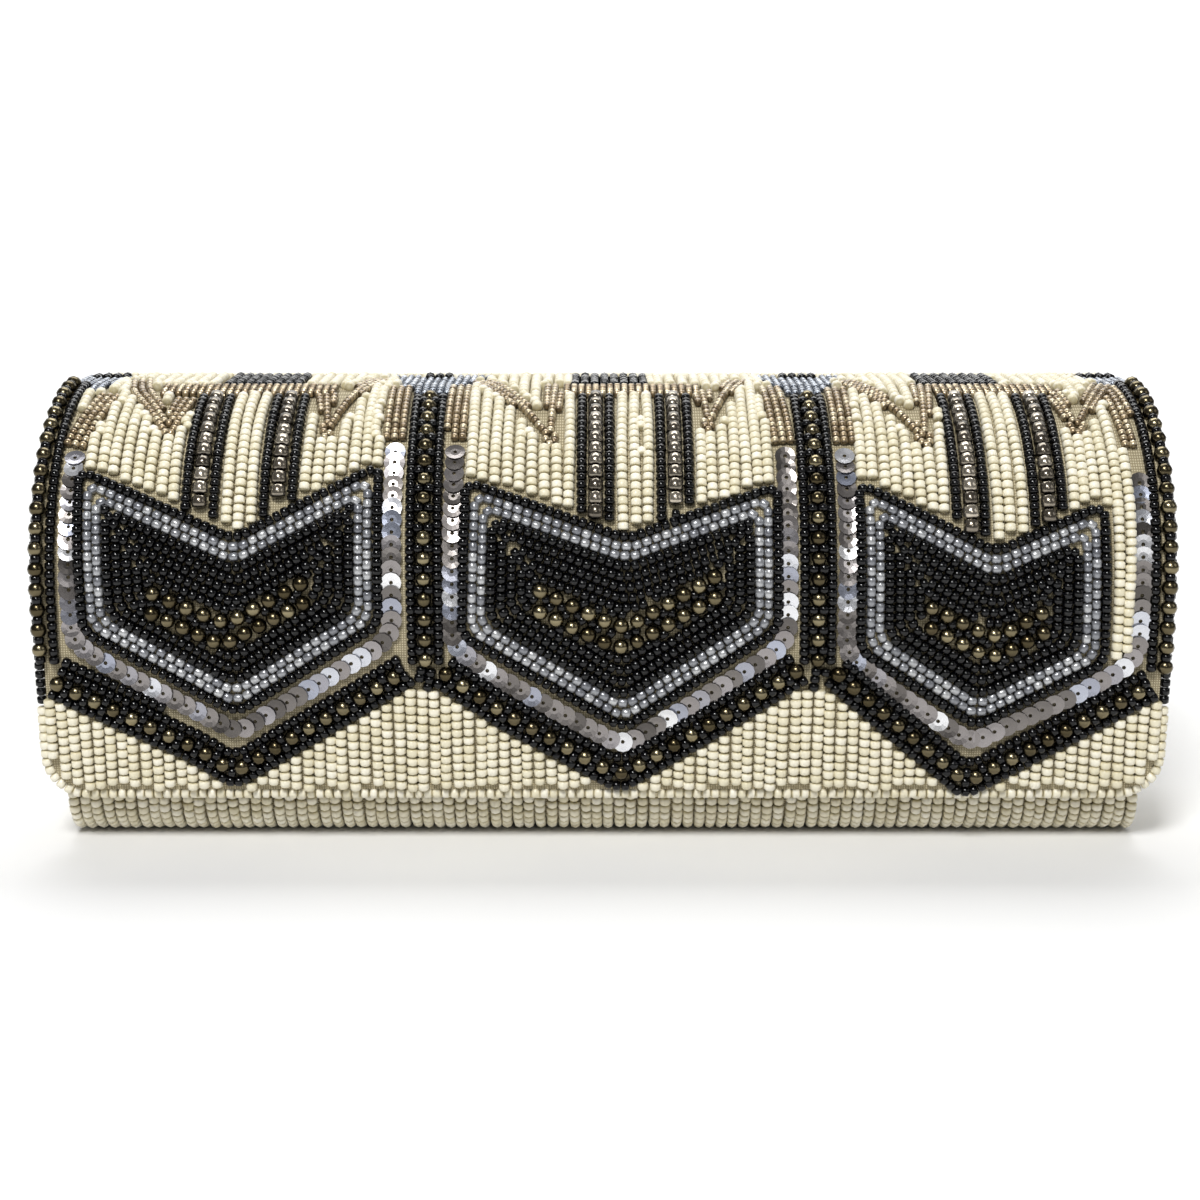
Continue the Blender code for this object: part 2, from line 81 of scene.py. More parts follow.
# %% [markdown]
# ## The section that everything follows
#
# Seen from the end, the flap is a short flat top, a large round and a slightly bowed front. The case is the
# same outline a few millimetres further in, closed by a flat bottom and back. It is far easier to lay beads
# out flat, as the embroiderer does on a frame, and bend the finished cloth afterwards. So a surface here is
# a function: across, along and height go in, and the bent place comes out. Each outline is a chain of
# straight stretches and arcs.

# %% Sizes of the section, from the frame's nodes
TOP_SLOPE = math.radians(2.0)
ROUND_RADIUS = 0.040
BOW_RADIUS = 0.440
CASE_CORNER = 0.008
BEAD_CLOTH = 0.0020                                   # cloth and beads together
CLOTH = 0.0004                                        # the bare ground cloth

flap_low, flap_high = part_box("flap_bead_panel")
case_low, case_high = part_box("case_bead_panel")
FRONT_Y, HEIGHT = flap_low.y, flap_high.z
FLAP_REAR_Y = flap_high.y - BEAD_CLOTH * math.sin(TOP_SLOPE)
FLAP_HALF = flap_high.x
CASE_DEPTH = case_low.y - FRONT_Y                     # case skin below the flap's outer face
BACK_Y = case_high.y
CASE_BACK_TOP = case_high.z
STRIP_TOP = 0.024                                     # beadwork on the case's front ends here
PANEL_HALF = case_high.x
END_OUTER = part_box("right_end_bead_panel")[1].x

ROUND_Y = FRONT_Y + ROUND_RADIUS
TOP_LENGTH = (FLAP_REAR_Y - ROUND_Y + ROUND_RADIUS * math.sin(TOP_SLOPE)) / math.cos(TOP_SLOPE)
ROUND_Z = HEIGHT - TOP_LENGTH * math.sin(TOP_SLOPE) - ROUND_RADIUS * math.cos(TOP_SLOPE)
BOW_Y = FRONT_Y + BOW_RADIUS
BOW_LENGTH = BOW_RADIUS * math.asin((ROUND_Z - 0.0095) / BOW_RADIUS)


# %% Chains of straight stretches and arcs
def outline(start, facing, hand, stretches):
    """A surface function for a chain of (length, radius) stretches; a radius of None is straight.

    facing is the angle of the outward direction in the (y, z) plane, and hand is 1 where it grows."""
    chain, (y, z), along = [], start, 0.0
    for length, radius in stretches:
        chain.append((along, y, z, facing, radius))
        if radius is None:
            y, z = y - hand * math.sin(facing) * length, z + hand * math.cos(facing) * length
        else:
            middle_y, middle_z = y - radius * math.cos(facing), z - radius * math.sin(facing)
            facing += hand * length / radius
            y, z = middle_y + radius * math.cos(facing), middle_z + radius * math.sin(facing)
        along += length

    def surface(across, along, height):
        across, along, height = np.broadcast_arrays(across, along, height)
        bent = np.zeros(across.shape + (3,))
        bent[..., 0] = across
        for number, (begin, y, z, facing, radius) in enumerate(chain):
            step = along - begin
            if radius is None:
                turn = np.full(across.shape, facing)
                at_y = y - hand * np.sin(facing) * step
                at_z = z + hand * np.cos(facing) * step
            else:
                turn = facing + hand * step / radius
                at_y = y - radius * np.cos(facing) + radius * np.cos(turn)
                at_z = z - radius * np.sin(facing) + radius * np.sin(turn)
            mine = (along >= begin) | (number == 0)
            bent[..., 1] = np.where(mine, at_y + height * np.cos(turn), bent[..., 1])
            bent[..., 2] = np.where(mine, at_z + height * np.sin(turn), bent[..., 2])
        return bent

    return surface, along


flap_chain = [
    (TOP_LENGTH, None),
    (ROUND_RADIUS * (math.pi / 2 - TOP_SLOPE), ROUND_RADIUS),
    (BOW_LENGTH, BOW_RADIUS),
]
on_flap, FLAP_LENGTH = outline((FLAP_REAR_Y, HEIGHT), math.pi / 2 + TOP_SLOPE, 1, flap_chain)

case_bow = BOW_RADIUS - CASE_DEPTH
corner_reach, corner_drop = case_bow - CASE_CORNER, ROUND_Z - CASE_CORNER
corner_turn = math.asin(corner_drop / corner_reach)
corner_y = BOW_Y - math.sqrt(corner_reach ** 2 - corner_drop ** 2)
strip_turn = math.asin((ROUND_Z - STRIP_TOP) / case_bow)
case_chain = [
    (CASE_BACK_TOP - CASE_CORNER, None),
    (CASE_CORNER * math.pi / 2, CASE_CORNER),
    (BACK_Y - CASE_CORNER - corner_y, None),
    (CASE_CORNER * (math.pi / 2 - corner_turn), CASE_CORNER),
    (case_bow * (corner_turn - strip_turn), case_bow),
]
on_case, CASE_LENGTH = outline((BACK_Y, CASE_BACK_TOP), 0.0, -1, case_chain)
case_marks = np.cumsum([length for length, _ in case_chain])
print("flap cloth", round(FLAP_LENGTH / MM, 1), "mm long, case cloth", round(CASE_LENGTH / MM, 1), "mm long")


def on_end(side):
    """The flat outer face of one end: across runs along Y, and along is the height above the floor."""
    def surface(across, along, height):
        across, along, height = np.broadcast_arrays(across, along, height)
        return np.stack([side * (END_OUTER + height), across, along], axis=-1)
    return surface


# %% [markdown]
# ## Finishes
#
# Glass seed beads are cut from drawn tube and tumbled, so each is a short rounded cylinder with a slightly
# different tint. That tint is stored with each bead as an attribute, and the material only has to read it.
# Colours are written as sRGB hex values, as a paint chart gives them, and one function turns them to the
# linear numbers that the shader wants.

# %% Colours and a helper for nodes
def srgb(code):
    """sRGB hex to linear red, green, blue and alpha."""
    parts = [int(code[at:at + 2], 16) / 255 for at in (1, 3, 5)]
    return (*[c / 12.92 if c <= 0.04045 else ((c + 0.055) / 1.055) ** 2.4 for c in parts], 1.0)


def add_node(tree, kind, settings=None, inputs=None):
    """Adds a shader node, sets its properties, and sets or links its inputs."""
    made = tree.nodes.new("ShaderNode" + kind)
    for name, value in (settings or {}).items():
        setattr(made, name, value)
    for name, value in (inputs or {}).items():
        if isinstance(value, bpy.types.NodeSocket):
            tree.links.new(value, made.inputs[name])
        else:
            made.inputs[name].default_value = value
    return made


def new_finish(name, **values):
    """A material with its shader's plain values set; underscores in the names stand for spaces."""
    made = bpy.data.materials.new(name)
    made.use_nodes = True
    shader = made.node_tree.nodes["Principled BSDF"]
    for key, value in values.items():
        shader.inputs[key.replace("_", " ").title().replace("Ior", "IOR")].default_value = value
    return made, made.node_tree, shader


def colour_stops(ramp, stops):
    """Gives a colour ramp its (place, hex colour) stops."""
    elements = ramp.color_ramp.elements
    while len(elements) < len(stops):
        elements.new(0.5)
    for element, (place, code) in zip(elements, stops):
        element.position = place
        element.color = srgb(code)


# %% Glass and metal beads
def bead_finish(name, shades, hole, **values):
    """A bead material: shades run over the beads' own tints, and hole is the colour painted at each bead's
    ends: the thread hole, and painted shade where neighbouring beads meet.
    """
    made, tree, shader = new_finish(name, **values)
    tint = add_node(tree, "Attribute", {"attribute_name": "bead_tint"})
    end = add_node(tree, "Attribute", {"attribute_name": "bead_end_and_joint_shade"})
    ramp = add_node(tree, "ValToRGB", inputs={"Fac": tint.outputs["Fac"]})
    colour_stops(ramp, shades)
    mix = add_node(tree, "Mix", {"data_type": "RGBA"}, {
        "Factor": end.outputs["Fac"], "A": ramp.outputs["Color"], "B": srgb(hole)})
    tree.links.new(mix.outputs["Result"], shader.inputs["Base Color"])
    return made


# In every bead finish the hole colour is painted at the ends of each bead: the thread hole itself, and
# painted shade where a bead meets its neighbours.
# Opaque glass, tumbled: cream right through, a soft shine, and darker at the ends for the thread hole and
# painted shade where beads meet.
ivory_glass = bead_finish(
    "ivory_opaque_glass", [(0.0, "#dfd7bb"), (0.3, "#e8e1c9"), (0.75, "#ece6d1"), (1.0, "#f1ecdb")],
    "#c4b993", roughness=0.30, ior=1.50)
# Jet glass: black in the mass and fire-polished, so all that shows is small sharp reflections.
jet_glass = bead_finish(
    "jet_black_glass", [(0.0, "#020203"), (0.7, "#040406"), (1.0, "#08080b")],
    "#020202", roughness=0.08, ior=1.50, specular_ior_level=0.40)
# Metal-coated round beads in old gold: a brown metal with a polished crown.
antique_gold = bead_finish(
    "antique_gold_plated_bead", [(0.0, "#4a4230"), (0.5, "#6b624c"), (1.0, "#91876b")],
    "#1a150e", roughness=0.23, metallic=1.0)
# Clear glass with a silvered hole: reads as bright grey metal under a glossy coat.
silver_lined = bead_finish(
    "silver_lined_clear_glass", [(0.0, "#7c7e84"), (0.5, "#9fa1a5"), (1.0, "#c2c3c4")],
    "#6c6d71", roughness=0.30, metallic=0.60, coat_weight=0.6, coat_roughness=0.08)
# The same silvered hole in pale brown glass.
champagne_glass = bead_finish(
    "silver_lined_champagne_glass", [(0.0, "#7d6a4d"), (0.5, "#a89473"), (1.0, "#d2c4a4")],
    "#4f402a", roughness=0.28, metallic=0.6, coat_weight=0.8, coat_roughness=0.06)
# Hematite-blue cut beads at the fold.
blue_grey_glass = bead_finish(
    "blue_grey_cut_glass", [(0.0, "#5f656f"), (0.5, "#8b929d"), (1.0, "#b4bac4")],
    "#3a3e46", roughness=0.22, metallic=0.7, coat_weight=0.6, coat_roughness=0.05)
# Wide short tubes, silver-lined in smoky glass.
smoky_bugle = bead_finish(
    "smoky_silver_lined_bugle", [(0.0, "#6a6256"), (0.6, "#9d9485"), (1.0, "#cfc5b4")],
    "#1d1a16", roughness=0.20, metallic=0.9, coat_weight=0.5, coat_roughness=0.08)
# Pressed plastic film with a metal coat. The light that the cup of each one catches is painted: each sequin's
# tint, from dark grey to near white, is a painted reflection.
pewter_film_painted_reflections = bead_finish(
    "pewter_sequin_film_painted_reflections", [(0.0, "#5a5653"), (0.3, "#85807d"), (0.6, "#a09b9b"), (0.8, "#a6acbd"),
                           (1.0, "#f2f2f3")],
    "#55504c", roughness=0.26, metallic=0.85)


# %% Cloth, satin, board and nickel
def woven(tree, pitch, angle):
    """One set of threads: a wave whose crests are a thread pitch apart, turned about the normal."""
    place = add_node(tree, "TexCoord")
    turned = add_node(tree, "Mapping", inputs={
        "Vector": place.outputs["Object"], "Rotation": (0.0, angle, 0.0)})
    # A wave texture repeats every 2 pi / 20 units at scale 1.
    scale = 2 * math.pi / 20 / pitch
    return add_node(tree, "TexWave", {"bands_direction": "X"}, {
        "Vector": turned.outputs["Vector"], "Scale": scale, "Distortion": 0.6, "Detail": 1.0})


def cloth_finish(name, shades, pitch, bump, **values):
    """Threads both ways, mottled by a broad noise; colours run from dark in the gaps to light on the crowns
    of the threads, a painted shade between the threads and painted light on their crowns.
    """
    made, tree, shader = new_finish(name, **values)
    warp, weft = woven(tree, pitch, 0.0), woven(tree, pitch, math.pi / 2)
    cross = add_node(tree, "Math", {"operation": "MULTIPLY"}, {
        0: warp.outputs["Fac"], 1: weft.outputs["Fac"]})
    place = add_node(tree, "TexCoord")
    mottle = add_node(tree, "TexNoise", inputs={
        "Vector": place.outputs["Object"], "Scale": 45.0, "Detail": 3.0})
    level = add_node(tree, "Math", {"operation": "MULTIPLY_ADD"}, {
        0: mottle.outputs["Fac"], 1: 0.3, 2: cross.outputs["Value"]})
    ramp = add_node(tree, "ValToRGB", inputs={"Fac": level.outputs["Value"]})
    colour_stops(ramp, shades)
    tree.links.new(ramp.outputs["Color"], shader.inputs["Base Color"])
    relief = add_node(tree, "Bump", inputs={
        "Height": cross.outputs["Value"], "Strength": bump, "Distance": pitch / 3})
    tree.links.new(relief.outputs["Normal"], shader.inputs["Normal"])
    return made


# Cotton ground cloth under the beads: plain weave, matt, greyed cream. Its real thread spacing of 0.3 mm
# is drawn at 0.5 mm so that it shows.
ground_cotton = cloth_finish(
    "ivory_ground_cotton", [(0.2, "#8f8468"), (0.6, "#b9ad8d"), (0.9, "#cfc5a8")], 0.0005, 0.5,
    roughness=0.9, sheen_weight=0.2, sheen_roughness=0.5)
# Polyester satin: long floats of bright thread give a broad soft shine. Threads at 0.25 mm, drawn at 0.4 mm.
champagne_satin = cloth_finish(
    "champagne_polyester_satin", [(0.1, "#bfae8d"), (0.5, "#ccbc9b"), (1.0, "#d8caac")], 0.0004, 0.15,
    roughness=0.34, sheen_weight=0.35, sheen_roughness=0.35, anisotropic=0.5, specular_ior_level=0.6)


def board_finish():
    """Grey bookboard: pressed waste paper, matt, flecked with fibres about a millimetre long."""
    made, tree, shader = new_finish("grey_pressed_bookboard", roughness=0.88)
    place = add_node(tree, "TexCoord")
    fleck = add_node(tree, "TexNoise", inputs={
        "Vector": place.outputs["Object"], "Scale": 900.0, "Detail": 4.0, "Roughness": 0.7})
    cloud = add_node(tree, "TexNoise", inputs={"Vector": place.outputs["Object"], "Scale": 60.0})
    level = add_node(tree, "Math", {"operation": "MULTIPLY_ADD"}, {
        0: cloud.outputs["Fac"], 1: 0.5, 2: fleck.outputs["Fac"]})
    ramp = add_node(tree, "ValToRGB", inputs={"Fac": level.outputs["Value"]})
    colour_stops(ramp, [(0.45, "#6c6a63"), (0.7, "#8d8a81"), (0.95, "#a9a69c")])
    tree.links.new(ramp.outputs["Color"], shader.inputs["Base Color"])
    relief = add_node(tree, "Bump", inputs={
        "Height": fleck.outputs["Fac"], "Strength": 0.3, "Distance": 0.0001})
    tree.links.new(relief.outputs["Normal"], shader.inputs["Normal"])
    return made


def nickel_finish():
    """Barrel-plated nickel: bright, faintly yellow, with fine tumbling marks in its roughness."""
    made, tree, shader = new_finish("barrel_plated_nickel", metallic=1.0)
    place = add_node(tree, "TexCoord")
    marks = add_node(tree, "TexNoise", inputs={
        "Vector": place.outputs["Object"], "Scale": 1500.0, "Detail": 3.0})
    ramp = add_node(tree, "ValToRGB", inputs={"Fac": marks.outputs["Fac"]})
    colour_stops(ramp, [(0.3, "#b3aea4"), (0.7, "#d2cdc2")])
    tree.links.new(ramp.outputs["Color"], shader.inputs["Base Color"])
    rough = add_node(tree, "MapRange", inputs={
        "Value": marks.outputs["Fac"], "To Min": 0.16, "To Max": 0.34})
    tree.links.new(rough.outputs["Result"], shader.inputs["Roughness"])
    return made


bookboard = board_finish()
nickel = nickel_finish()
for name, node in NODES.items():
    if name.endswith("board"):
        node.data.materials.clear()
        node.data.materials.append(bookboard)
    if name.startswith("snap"):
        node.data.materials.clear()
        node.data.materials.append(nickel)
print("finishes:", len(bpy.data.materials))

# %% [markdown]
# ## One bead of each kind
#
# A bead is turned: draw half its profile from thread hole to thread hole, and spin it about the thread.
# Every bead mesh is small, because thousands of copies follow. Eight sides shaded smooth are enough for a
# bead two millimetres across. Each also gets a little map of its own skin, with the way round across and
# the way along up, so that a copy's colours can be baked into a small square of one sheet.


# %% Turned beads and pressed sequins
def turned_bead(name, profile, sides, smooth=True, ring=False):
    """Spins a profile of (along the thread, out from it) points, in millimetres, about the X axis."""
    shape = bmesh.new()
    points = [shape.verts.new((x * MM, 0.0, out * MM)) for x, out in profile]
    edges = [shape.edges.new(pair) for pair in zip(points, points[1:] + points[:1] * ring)]
    bmesh.ops.spin(
        shape, geom=points + edges, cent=(0, 0, 0), axis=(1, 0, 0), angle=2 * math.pi, steps=sides,
        use_merge=True)
    bmesh.ops.remove_doubles(shape, verts=shape.verts, dist=1e-7)
    bmesh.ops.recalc_face_normals(shape, faces=shape.faces)
    layer = shape.loops.layers.uv.new("OFBake")
    for face in shape.faces:
        face.smooth = smooth
        centre = face.calc_center_median()
        middle = math.atan2(centre.y, centre.z)
        for loop in face.loops:
            at = loop.vert.co
            out = math.hypot(at.y, at.z)
            swing = math.remainder(math.atan2(at.y, at.z) - middle, 2 * math.pi) if out > 1e-6 else 0.0
            loop[layer].uv = (0.5 + (middle + swing) / (2 * math.pi + 0.8), math.atan2(out, at.x) / math.pi)
    mesh = bpy.data.meshes.new(name)
    shape.to_mesh(mesh)
    shape.free()
    return mesh


def seed_profile(length, width):
    """A tumbled piece of tube: round shoulders and a dimple at each thread hole."""
    return [
        (-0.40 * length, 0.0), (-0.50 * length, 0.32 * width), (-0.30 * length, 0.5 * width),
        (0.30 * length, 0.5 * width), (0.50 * length, 0.32 * width), (0.40 * length, 0.0)]


def ball_profile(width, steps):
    return [
        (-0.5 * width * math.cos(math.pi * step / steps), 0.5 * width * math.sin(math.pi * step / steps))
        for step in range(steps + 1)]


# width across the thread, length along it, height of the middle above the ground cloth; millimetres
BEADS = {
    "ivory": (2.28, 1.74, 1.08),
    "black": (2.16, 1.66, 1.08),
    "gold": (3.30, 3.30, 1.50),
    "silver": (1.92, 2.00, 1.00),
    "champagne": (1.66, 1.45, 1.15),
    "blue_grey": (1.60, 1.45, 0.85),
    "bugle": (3.20, 2.80, 1.30),
    "sequin": (4.15, 0.10, 1.00),
    "stitch": (0.36, 2.00, 0.10),
}
bead_meshes = {
    kind: turned_bead(kind, seed_profile(BEADS[kind][1], BEADS[kind][0]), 8)
    for kind in ("ivory", "black", "silver", "champagne", "blue_grey", "stitch")
}
bead_meshes["gold"] = turned_bead("gold", ball_profile(BEADS["gold"][0], 6), 10)
bugle_half, bugle_out = BEADS["bugle"][1] / 2, BEADS["bugle"][0] / 2
bead_meshes["bugle"] = turned_bead(
    "bugle", [(-bugle_half, 0.0), (-bugle_half, bugle_out * 0.6), (-bugle_half * 0.7, bugle_out),
              (bugle_half * 0.7, bugle_out), (bugle_half, bugle_out * 0.6), (bugle_half, 0.0)],
    10)


def cupped_sequin():
    """A pressed disc with a thread hole and a raised rim, lying flat: turned about X, then tipped up."""
    rim, film = BEADS["sequin"][0] / 2, BEADS["sequin"][1]
    mesh = turned_bead(
        "sequin", [(0.0, 0.4), (0.0, 1.0), (0.16, rim), (0.16 + film, rim), (film, 1.0), (film, 0.4)],
        12, smooth=False, ring=True)
    for vertex in mesh.vertices:
        vertex.co = (-vertex.co.z, vertex.co.y, vertex.co.x)
    return mesh


bead_meshes["sequin"] = cupped_sequin()
print({kind: len(mesh.polygons) for kind, mesh in bead_meshes.items()}, "faces")

# %% [markdown]
# ## Stringing
#
# The layout is a list of spots in millimetres on the flat cloth: across from the middle, along from the
# fold. A spot also says which way its thread runs, how high the bead sits and how far it leans. To turn
# spots into glass, an Array modifier repeats the bead's mesh once for each spot, and then every copy's
# corners are turned, laid in place and bent round the section in one sweep of array arithmetic. That is
# seconds for sixteen thousand beads, where one object for each would take minutes.


# %% Spots become one mesh
def mirrored(surface):
    """Whether a surface is left-handed, so that faces laid on it turn inside out."""
    steps = np.array([[0.0, 0.01, 0.0], [0.001, 0.01, 0.0], [0.0, 0.011, 0.0], [0.0, 0.01, 0.001]])
    at, across, along, height = surface(*steps.T)
    return float(np.dot(np.cross(across - at, along - at), height - at)) < 0


def repeated(mesh, count):
    """The mesh repeated count times by an Array modifier, one copy after another."""
    holder = bpy.data.objects.new("repeat", mesh)
    bpy.context.collection.objects.link(holder)
    array = holder.modifiers.new("each_bead", "ARRAY")
    array.use_relative_offset = False
    array.count = count
    made = bpy.data.meshes.new_from_object(holder.evaluated_get(bpy.context.evaluated_depsgraph_get()))
    bpy.data.objects.remove(holder)
    return made


def strung(name, kind, spots, surface, material, seed):
    """One piece of beadwork: a bead for every (across, along, heading, height, lean) spot."""
    bead, chance = bead_meshes[kind], np.random.default_rng(seed)
    count, corners = len(spots), len(bead.vertices)
    mesh = repeated(bead, count)
    mesh.name = name
    local = np.empty(len(mesh.vertices) * 3)
    mesh.vertices.foreach_get("co", local)
    x, y, z = local.reshape(count, corners, 3).transpose(2, 0, 1)
    reach = BEADS[kind][1] / 2 * MM
    # The end mask: each bead's ends, where the finish paints the thread hole and painted shade between
    # neighbouring beads.
    end = np.clip((np.abs(x) / reach - 0.7) / 0.3, 0, 1) if kind != "sequin" else x * 0.0
    across, along, heading, height, lean = np.array(spots).T[:, :, None]
    scatter = chance.normal(0.0, 1.0, (5, count, 1)).clip(-2, 2)
    size = 1 + 0.025 * scatter[0]
    x, y, z = x * size * (1 + 0.03 * scatter[1]), y * size, z * size
    lean = lean + 0.035 * scatter[2]
    x, z = x * np.cos(lean) - z * np.sin(lean), x * np.sin(lean) + z * np.cos(lean)
    heading = heading + 0.045 * scatter[3]
    across = across * MM + x * np.cos(heading) - y * np.sin(heading)
    along = along * MM + x * np.sin(heading) + y * np.cos(heading)
    height = height * MM - (BEAD_CLOTH - CLOTH / 4) + z + 0.00004 * scatter[4]
    mesh.vertices.foreach_set("co", surface(across, along, height).ravel())
    if mirrored(surface):
        mesh.flip_normals()
    tint = np.repeat(chance.random(count), corners)
    for attribute, values in (("bead_tint", tint), ("bead_end_and_joint_shade", end.ravel())):
        mesh.attributes.new(attribute, "FLOAT", "POINT").data.foreach_set("value", values.astype(np.float32))
    give_squares(mesh, count)
    mesh.materials.clear()
    mesh.materials.append(material)
    mesh.update()
    piece = bpy.data.objects.new(name, mesh)
    bpy.context.scene.collection.objects.link(piece)
    print(name, count, "beads,", sum(len(face.vertices) - 2 for face in mesh.polygons), "triangles")
    return piece


def give_squares(mesh, count):
    """Moves each copy's own little map into its own square of one sheet."""
    layer = mesh.uv_layers["OFBake"]
    own = np.empty(len(layer.data) * 2)
    layer.data.foreach_get("uv", own)
    rows = math.ceil(math.sqrt(count))
    number = np.arange(count)
    squares = np.stack([number % rows, number // rows], axis=-1)[:, None, :]
    spread = (squares + 0.08 + 0.84 * own.reshape(count, -1, 2)) / rows
    layer.data.foreach_set("uv", spread.ravel())


# %% [markdown]
# ## Couching rows of beads
#
# Most of the design is rows: a line drawn on the cloth, and beads threaded and couched along it, often
# several rows side by side. Each new row gives way to what is already there, as it does by hand, so the
# order below is the order of work: medallions first, then the borders, then the stripes and the sequins.


# %% Lines, rows and the memory of what is laid
ROOM = {"ivory": 0.98, "black": 0.96, "gold": 1.45, "silver": 0.90, "champagne": 0.66,
        "blue_grey": 0.66, "bugle": 1.30, "sequin": 0.60}
TOUCHING = 0.92                                        # share of their rooms at which two beads just fit
SQUEEZED = 0.79                                        # of its room that a bead pressed into a hole needs
laid = {kind: [] for kind in BEADS}
hand = random.Random(11)                               # the embroiderer's small unevenness
taken = []                                             # (across, along, room) of every bead so far


def eased(line, closed=False, cut=1.6):
    """The line with its corners cut once, because a thread turns in a small curve."""
    points = [Vector(point) for point in line]
    count, soft = len(points), []
    for number, point in enumerate(points):
        if not closed and number in (0, count - 1):
            soft.append(point)
            continue
        for other in (points[number - 1], points[(number + 1) % count]):
            way = other - point
            soft.append(point + way * min(0.25, cut / way.length))
    return soft


def beside(line, distance, closed=False):
    """The line moved sideways, its corners mitred."""
    points = [Vector(point) for point in line]
    count, moved = len(points), []
    for number, point in enumerate(points):
        first, last = (number == 0, number == count - 1) if not closed else (False, False)
        before = (point - points[number - 1]).normalized() if not first else None
        after = (points[(number + 1) % count] - point).normalized() if not last else None
        before, after = before or after, after or before
        side = Vector((-before.y - after.y, before.x + after.x)).normalized()
        square = Vector((-before.y, before.x))
        moved.append(point + side * distance / max(0.5, side.dot(square)))
    return moved


def stations(line, pitch, closed=False):
    """(across, along, heading) at even steps of about the pitch along a line."""
    points = line + line[:1] if closed else line
    lengths = [(b - a).length for a, b in zip(points, points[1:])]
    count = max(1, round(sum(lengths) / pitch))
    spacing, found, passed = sum(lengths) / count, [], 0.0
    target = spacing / 2
    for (a, b), length in zip(zip(points, points[1:]), lengths):
        while target < passed + length and len(found) < count:
            at = a.lerp(b, (target - passed) / length)
            found.append((at.x, at.y, math.atan2(b.y - a.y, b.x - a.x)))
            target += spacing
        passed += length
    return found


def clear(tree, across, along, room):
    """Whether no bead laid earlier is nearer than the two beads' room."""
    for _, number, distance in tree.find_range((across, along, 0.0), room + 1.3):
        if distance < (room + taken[number][2]) * TOUCHING:
            return False
    return True


def memory():
    tree = kdtree.KDTree(len(taken))
    for number, (across, along, _) in enumerate(taken):
        tree.insert((across, along, 0.0), number)
    tree.balance()
    return tree


def lay(kind, places, within=None):
    """Lays one row: each bead that is clear of earlier rows, and inside what within allows."""
    tree, room, fresh = memory(), ROOM[kind], []
    for across, along, heading in places:
        allowed = within is None or within(across, along)
        if allowed and clear(tree, across, along, room):
            laid[kind].append((across, along, heading, BEADS[kind][2], 0.0))
            fresh.append((across, along, room))
    taken.extend(fresh)


def lay_one(kind, across, along):
    """One bead at a random turn and a slight lean, if there is room."""
    room = ROOM[kind] * SQUEEZED
    crowded = any(
        abs(x - across) < 3 and abs(y - along) < 3
        and math.hypot(x - across, y - along) < (other + room) * TOUCHING
        for x, y, other in taken)
    if not crowded:
        laid[kind].append((across, along, hand.uniform(0.0, 3.1), BEADS[kind][2], hand.uniform(-0.2, 0.2)))
        taken.append((across, along, room))


def couch(kind, line, sides=(0.0,), closed=False, within=None, pitch=None):
    """Rows of one kind beside a line, at these distances from it."""
    for side in sides:
        row = eased(beside(line, side, closed), closed)
        lay(kind, stations(row, pitch or BEADS[kind][1] * 1.05, closed), within)


GOLD_PITCH = 4.12
SPACER_HEIGHT = 1.6                                    # the jet pairs ride up between the gold beads


def gold_and_jet(line):
    """Large gold beads with two jet beads side by side between each two."""
    row = stations(eased(line), GOLD_PITCH / 2)
    lay("gold", row[::2])
    for across, along, heading in row[1::2]:
        for side in (-1.0, 1.0) if abs(across) < EDGE else (0.0,):
            at = (across - side * math.sin(heading), along + side * math.cos(heading))
            laid["black"].append((*at, heading, SPACER_HEIGHT, 0.0))


# %% [markdown]
# The design is three upright panels. Each holds a shield-shaped medallion with a notched top, hung from
# two dark stripes, and each is bordered by a gold line that runs down a column, out to a point and up the
# next column. Many of the points are measured places, in millimetres from the middle of the fold.

# %% The drawing
GOLD_COLUMNS = [
    [(-112.8, 15.0), (-112.8, 89.0)], [(-36.0, 25.0), (-35.6, 89.0)],
    [(42.6, 25.0), (43.1, 89.0)], [(112.8, 15.0), (112.8, 90.5)]]
JET_KNOTS = [[(-36.0, 88.0), (-37.4, 94.0)], [(43.1, 88.0), (42.4, 94.6)]]
JET_BENDS = [[(-109.6, 85.0), (-108.4, 89.6), (-103.5, 93.0)], [(109.6, 86.0), (108.6, 90.2), (103.5, 93.8)]]
GOLD_POINTS = [
    [(-110.6, 92.6), (-82.1, 106.7), (-75.0, 111.6), (-68.0, 107.4), (-47.0, 94.8), (-39.4, 90.0)],
    [(-32.4, 90.4), (-20.0, 99.0), (3.4, 112.6), (20.0, 102.4), (39.6, 89.8)],
    [(46.6, 90.4), (60.0, 102.0), (74.0, 113.8), (90.0, 104.8), (110.4, 93.2)]]
MEDALLIONS = [
    [(-102.2, 53.1), (-73.5, 66.6), (-48.0, 52.4), (-47.8, 79.2), (-74.1, 95.8), (-101.2, 80.5)],
    [(-24.7, 55.2), (4.6, 66.3), (32.0, 56.2), (32.2, 80.2), (4.1, 99.0), (-25.4, 81.5)],
    [(54.2, 56.3), (78.0, 69.1), (97.2, 60.6), (97.8, 87.0), (75.6, 98.6), (54.5, 84.6)]]
GOLD_HEARTS = [
    [[(-91.3, 73.7), (-75.4, 80.6), (-58.6, 71.5)], [(-91.5, 77.8), (-76.2, 84.9), (-58.3, 75.6)]],
    [[(-14.1, 73.1), (4.0, 81.7), (23.7, 70.1)], [(-14.2, 77.4), (3.7, 86.0), (23.8, 74.4)]],
    [[(64.0, 76.6), (78.4, 83.6), (89.0, 77.6)], [(64.0, 80.7), (78.2, 87.8), (89.6, 81.6)]]]
STRIPES = [(-80.6, 66.0), (-65.0, 64.0), (-1.5, 65.0), (14.5, 65.0), (73.4, 68.0), (89.0, 66.0)]
